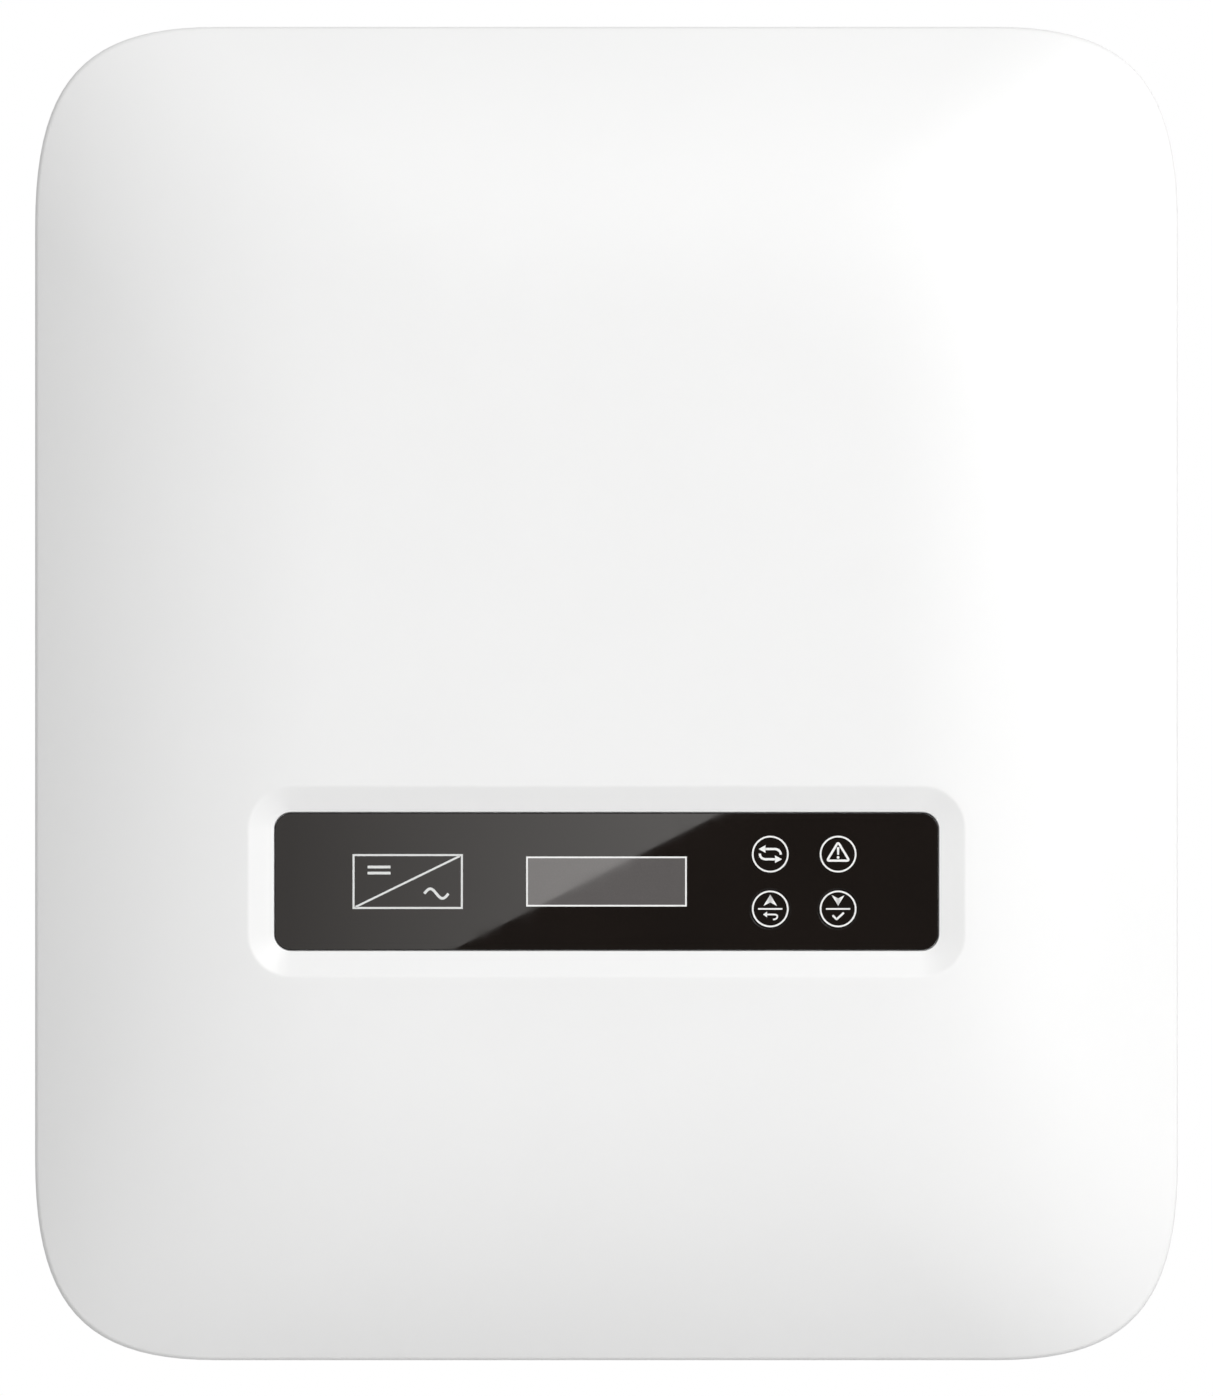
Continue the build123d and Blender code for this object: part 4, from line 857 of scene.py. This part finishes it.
def converter_symbol(art):
    """The plain symbol for direct to alternating current: a box cut by a diagonal, two bars and a wave."""
    half_width, half_height, line = 34 * mm / 2, 16.6 * mm / 2, symbol_line
    art.outline(rectangle(half_width, half_height), line)
    end_x, end_z = half_width - line, half_height - line / 2
    art.stroke([(-end_x, -end_z), (end_x, end_z)], line)
    for rise in (0.95, -0.95):
        art.stroke(scaled([(-12.6, 3.6 + rise), (-5.4, 3.6 + rise)]), symbol_mark_line)
    steps = 24
    wave = [(5.2 + 7.6 * i / steps, -3.8 + 1.5 * math.sin(math.tau * i / steps)) for i in range(steps + 1)]
    art.stroke(scaled(wave), symbol_mark_line)


def make_prints():
    icons = {"flow_mark": (key_centre["key_up"].x, exchange_icon),
             "fault_mark": (key_centre["key_down"].x, warning_icon)}
    lamp_z = 2 * window_middle - key_centre["key_up"].z
    for name, (x, draw) in icons.items():
        art = Print(x, lamp_z)
        draw(art)
        art.piece(name, "unit", "window_black", white_ink)
    for key, draw in (("key_up", up_icon), ("key_down", down_icon)):
        art = Print(key_centre[key].x, key_centre[key].z)
        draw(art)
        art.piece(key + "_mark", key, "window_black", white_ink)
    art = Print(symbol_x, window_middle)
    converter_symbol(art)
    art.piece("converter_mark", "unit", "window_black", grey_ink)
    frame_line = Print(0.0, window_middle)
    box = rectangle(lcd_x, lcd_z)
    frame_line.outline(offset(box, -lcd_line / 2), lcd_line)
    frame_line.piece("display_outline", "unit", "window_black", white_ink)
    film = Print(0.0, window_middle)
    film.cell(offset(box, -lcd_line))
    film.piece("display_face", "unit", "lcd_glass", display_film)


# ---------------------------------------------------------------- finishes and soft edges of the CAD nodes
def finish_nodes():
    for part in frame["record"]["subparts"]:
        node = frame["nodes"][part["node"]]
        node.data.materials.clear()
        node.data.materials.append(finishes[part["material_slot"]])


edge_widths = {
    "wall_bracket": 0.4 * mm, "hanger_rail": 0.4 * mm, "heat_sink_base": 0.5 * mm, "heat_sink_fins": 0.3 * mm,
    "chassis": 0.5 * mm, "display_window": 0.15 * mm, "dc_switch_knob": 0.5 * mm, "dc_switch_plate": 0.3 * mm,
    "ac_socket": 0.3 * mm, "com_port": 0.3 * mm, "com_cap": 0.3 * mm, "wall_spacers": 0.4 * mm,
}


# ---------------------------------------------------------------- studio
def area_light(name, at, size, power):
    """A lamp aimed at the frame's origin."""
    data = bpy.data.lights.new(name, "AREA")
    data.shape = "RECTANGLE"
    data.size, data.size_y = size
    data.energy = power
    lamp = bpy.data.objects.new(name, data)
    scene.collection.objects.link(lamp)
    lamp.location = at
    lamp.rotation_euler = (-Vector(at)).to_track_quat("-Z", "Y").to_euler()
    lamp.visible_camera = False


def make_world():
    """White behind the object, and a soft surround with a dim patch behind the camera."""
    world = bpy.data.worlds.new("studio")
    scene.world = world
    world.use_nodes = True
    tree = world.node_tree
    tree.nodes.clear()
    add, join = tree.nodes.new, tree.links.new
    output, seen, lit = add("ShaderNodeOutputWorld"), add("ShaderNodeBackground"), add("ShaderNodeBackground")
    mix, path = add("ShaderNodeMixShader"), add("ShaderNodeLightPath")
    seen.inputs["Color"].default_value = (1, 1, 1, 1)
    lit.inputs["Color"].default_value = (1, 1, 1, 1)
    direction, dot = add("ShaderNodeTexCoord"), add("ShaderNodeVectorMath")
    dot.operation = "DOT_PRODUCT"
    dot.inputs[1].default_value = (0, -1, 0)
    patch = add("ShaderNodeMapRange")
    patch.interpolation_type = "SMOOTHSTEP"
    patch.inputs["From Min"].default_value = math.cos(math.radians(patch_edge))
    patch.inputs["From Max"].default_value = math.cos(math.radians(patch_core))
    patch.inputs["To Min"].default_value = surround_light
    patch.inputs["To Max"].default_value = dim_patch
    join(direction.outputs["Generated"], dot.inputs[0])
    join(dot.outputs["Value"], patch.inputs["Value"])
    join(patch.outputs["Result"], lit.inputs["Strength"])
    join(path.outputs["Is Camera Ray"], mix.inputs["Fac"])
    join(lit.outputs["Background"], mix.inputs[1])
    join(seen.outputs["Background"], mix.inputs[2])
    join(mix.outputs["Shader"], output.inputs["Surface"])


def sheet(name, points, columns, rows, flip=False):
    """A flat sheet of columns by rows quads, from its points row by row, as a piece of the studio."""
    faces = []
    for j in range(rows):
        for a in range(j * (columns + 1), j * (columns + 1) + columns):
            quad = (a, a + 1, a + columns + 2, a + columns + 1)
            faces.append((quad[0], *quad[:0:-1]) if flip else quad)
    mesh = bpy.data.meshes.new(name)
    mesh.from_pydata(points, [], faces)
    made = bpy.data.objects.new(name, mesh)
    scene.collection.objects.link(made)
    return made


def make_floor():
    """A wide pale floor well below the object, clear from underneath so that it hides nothing from below."""
    steps = 14
    level = cad_box[0].z - floor_drop
    points = [(floor_reach * (2 * i / steps - 1), floor_reach * (2 * j / steps - 1), level)
              for j in range(steps + 1) for i in range(steps + 1)]
    floor = sheet("floor", points, steps, steps)
    nodes = sprayed("floor_finish", (0.74, 0.74, 0.74), (0.6, 0.75), 8 * mm, 0.05 * mm)
    side, clear = nodes.add("ShaderNodeNewGeometry"), nodes.add("ShaderNodeBsdfTransparent")
    mix = nodes.add("ShaderNodeMixShader")
    nodes.join(side.outputs["Backfacing"], mix.inputs["Fac"])
    nodes.join(nodes.shader.outputs["BSDF"], mix.inputs[1])
    nodes.join(clear.outputs["BSDF"], mix.inputs[2])
    nodes.join(mix.outputs["Shader"], nodes.output.inputs["Surface"])
    floor.data.materials.append(nodes.material)


def make_card():
    """A light card behind the camera, whose slanting edge shows in the glossy window as a diagonal."""
    reach = card_distance / (camera_distance - (window_front - camera_plane))
    eye = Vector((0.0, camera_height))
    low, high = (eye + (Vector(end) * mm - eye) * (1 + reach) for end in glint_edge)
    along = (high - low).normalized()
    outward = Vector((-along.y, along.x))
    low, high = low - along * card_overrun, high + along * card_overrun
    depth = window_front + card_distance
    columns, rows = 16, 8
    points = []
    for j in range(rows + 1):
        for i in range(columns + 1):
            p = low.lerp(high, i / columns) + outward * card_width * j / rows
            points.append(place(p.x, depth, p.y))
    card = sheet("light_card", points, columns, rows, flip=True)
    material = bpy.data.materials.new("light_card")
    material.use_nodes = True
    tree = material.node_tree
    tree.nodes.clear()
    add, join = tree.nodes.new, tree.links.new
    output, glow = add("ShaderNodeOutputMaterial"), add("ShaderNodeEmission")
    where, split, fade = add("ShaderNodeTexCoord"), add("ShaderNodeSeparateXYZ"), add("ShaderNodeMapRange")
    glow.inputs["Color"].default_value = (1.0, 0.985, 0.965, 1)
    fade.inputs["From Min"].default_value = glow_span[0] * mm * (1 + reach)
    fade.inputs["From Max"].default_value = glow_span[1] * mm * (1 + reach)
    fade.inputs["To Min"].default_value, fade.inputs["To Max"].default_value = card_glow
    join(where.outputs["Object"], split.inputs["Vector"])
    join(split.outputs["X"], fade.inputs["Value"])
    join(fade.outputs["Result"], glow.inputs["Strength"])
    join(glow.outputs["Emission"], output.inputs["Surface"])
    card.data.materials.append(material)
    card.visible_camera = False
    card.visible_shadow = False


def make_camera():
    data = bpy.data.cameras.new("camera")
    data.type = "PERSP"
    data.sensor_fit = "HORIZONTAL"
    data.sensor_width = sensor
    data.lens = lens
    data.clip_start, data.clip_end = 0.05, 60
    camera = bpy.data.objects.new("camera", data)
    scene.collection.objects.link(camera)
    camera.location = place(0.0, camera_plane + camera_distance, camera_height)
    camera.rotation_euler = (math.radians(90), 0, 0)
    scene.camera = camera


sensor = 36.0  # millimetres, as Blender counts lenses and sensors
lens = 600.0
view_width = 382.05 * mm  # what the view spans at the cover's shoulder
camera_plane = shoulder_depth
camera_distance = lens / sensor * view_width
camera_height = -1.4 * mm
card_distance = 1.5 * camera_distance
glint_edge = ((-47.8, -80.2), (36.0, -37.6))  # where the card's edge crosses the window
glow_span = (-100, 20)  # millimetres across the window over which the card's glow rises
card_glow = (0.9, 2.3)
card_width = 0.7
card_overrun = 0.9  # how far the card runs on past both ends of its slanting edge
surround_light = 0.57
dim_patch = 0.06
patch_core, patch_edge = 9.0, 24.0  # degrees from the patch's middle, where its fading starts and ends
floor_reach = 14.0
floor_drop = 1.0  # from the object's lowest point

scene.view_settings.view_transform = "Standard"
make_camera()
make_world()
make_floor()
make_card()
area_light("key", at=(1.25, -2.4, 1.0), size=(1.6, 1.6), power=51.0)
area_light("side", at=(2.4, -0.35, 0.3), size=(0.8, 1.8), power=5.5)

finish_nodes()
for name, width in edge_widths.items():
    soften(frame["nodes"][name], width)
make_cover()
make_prints()
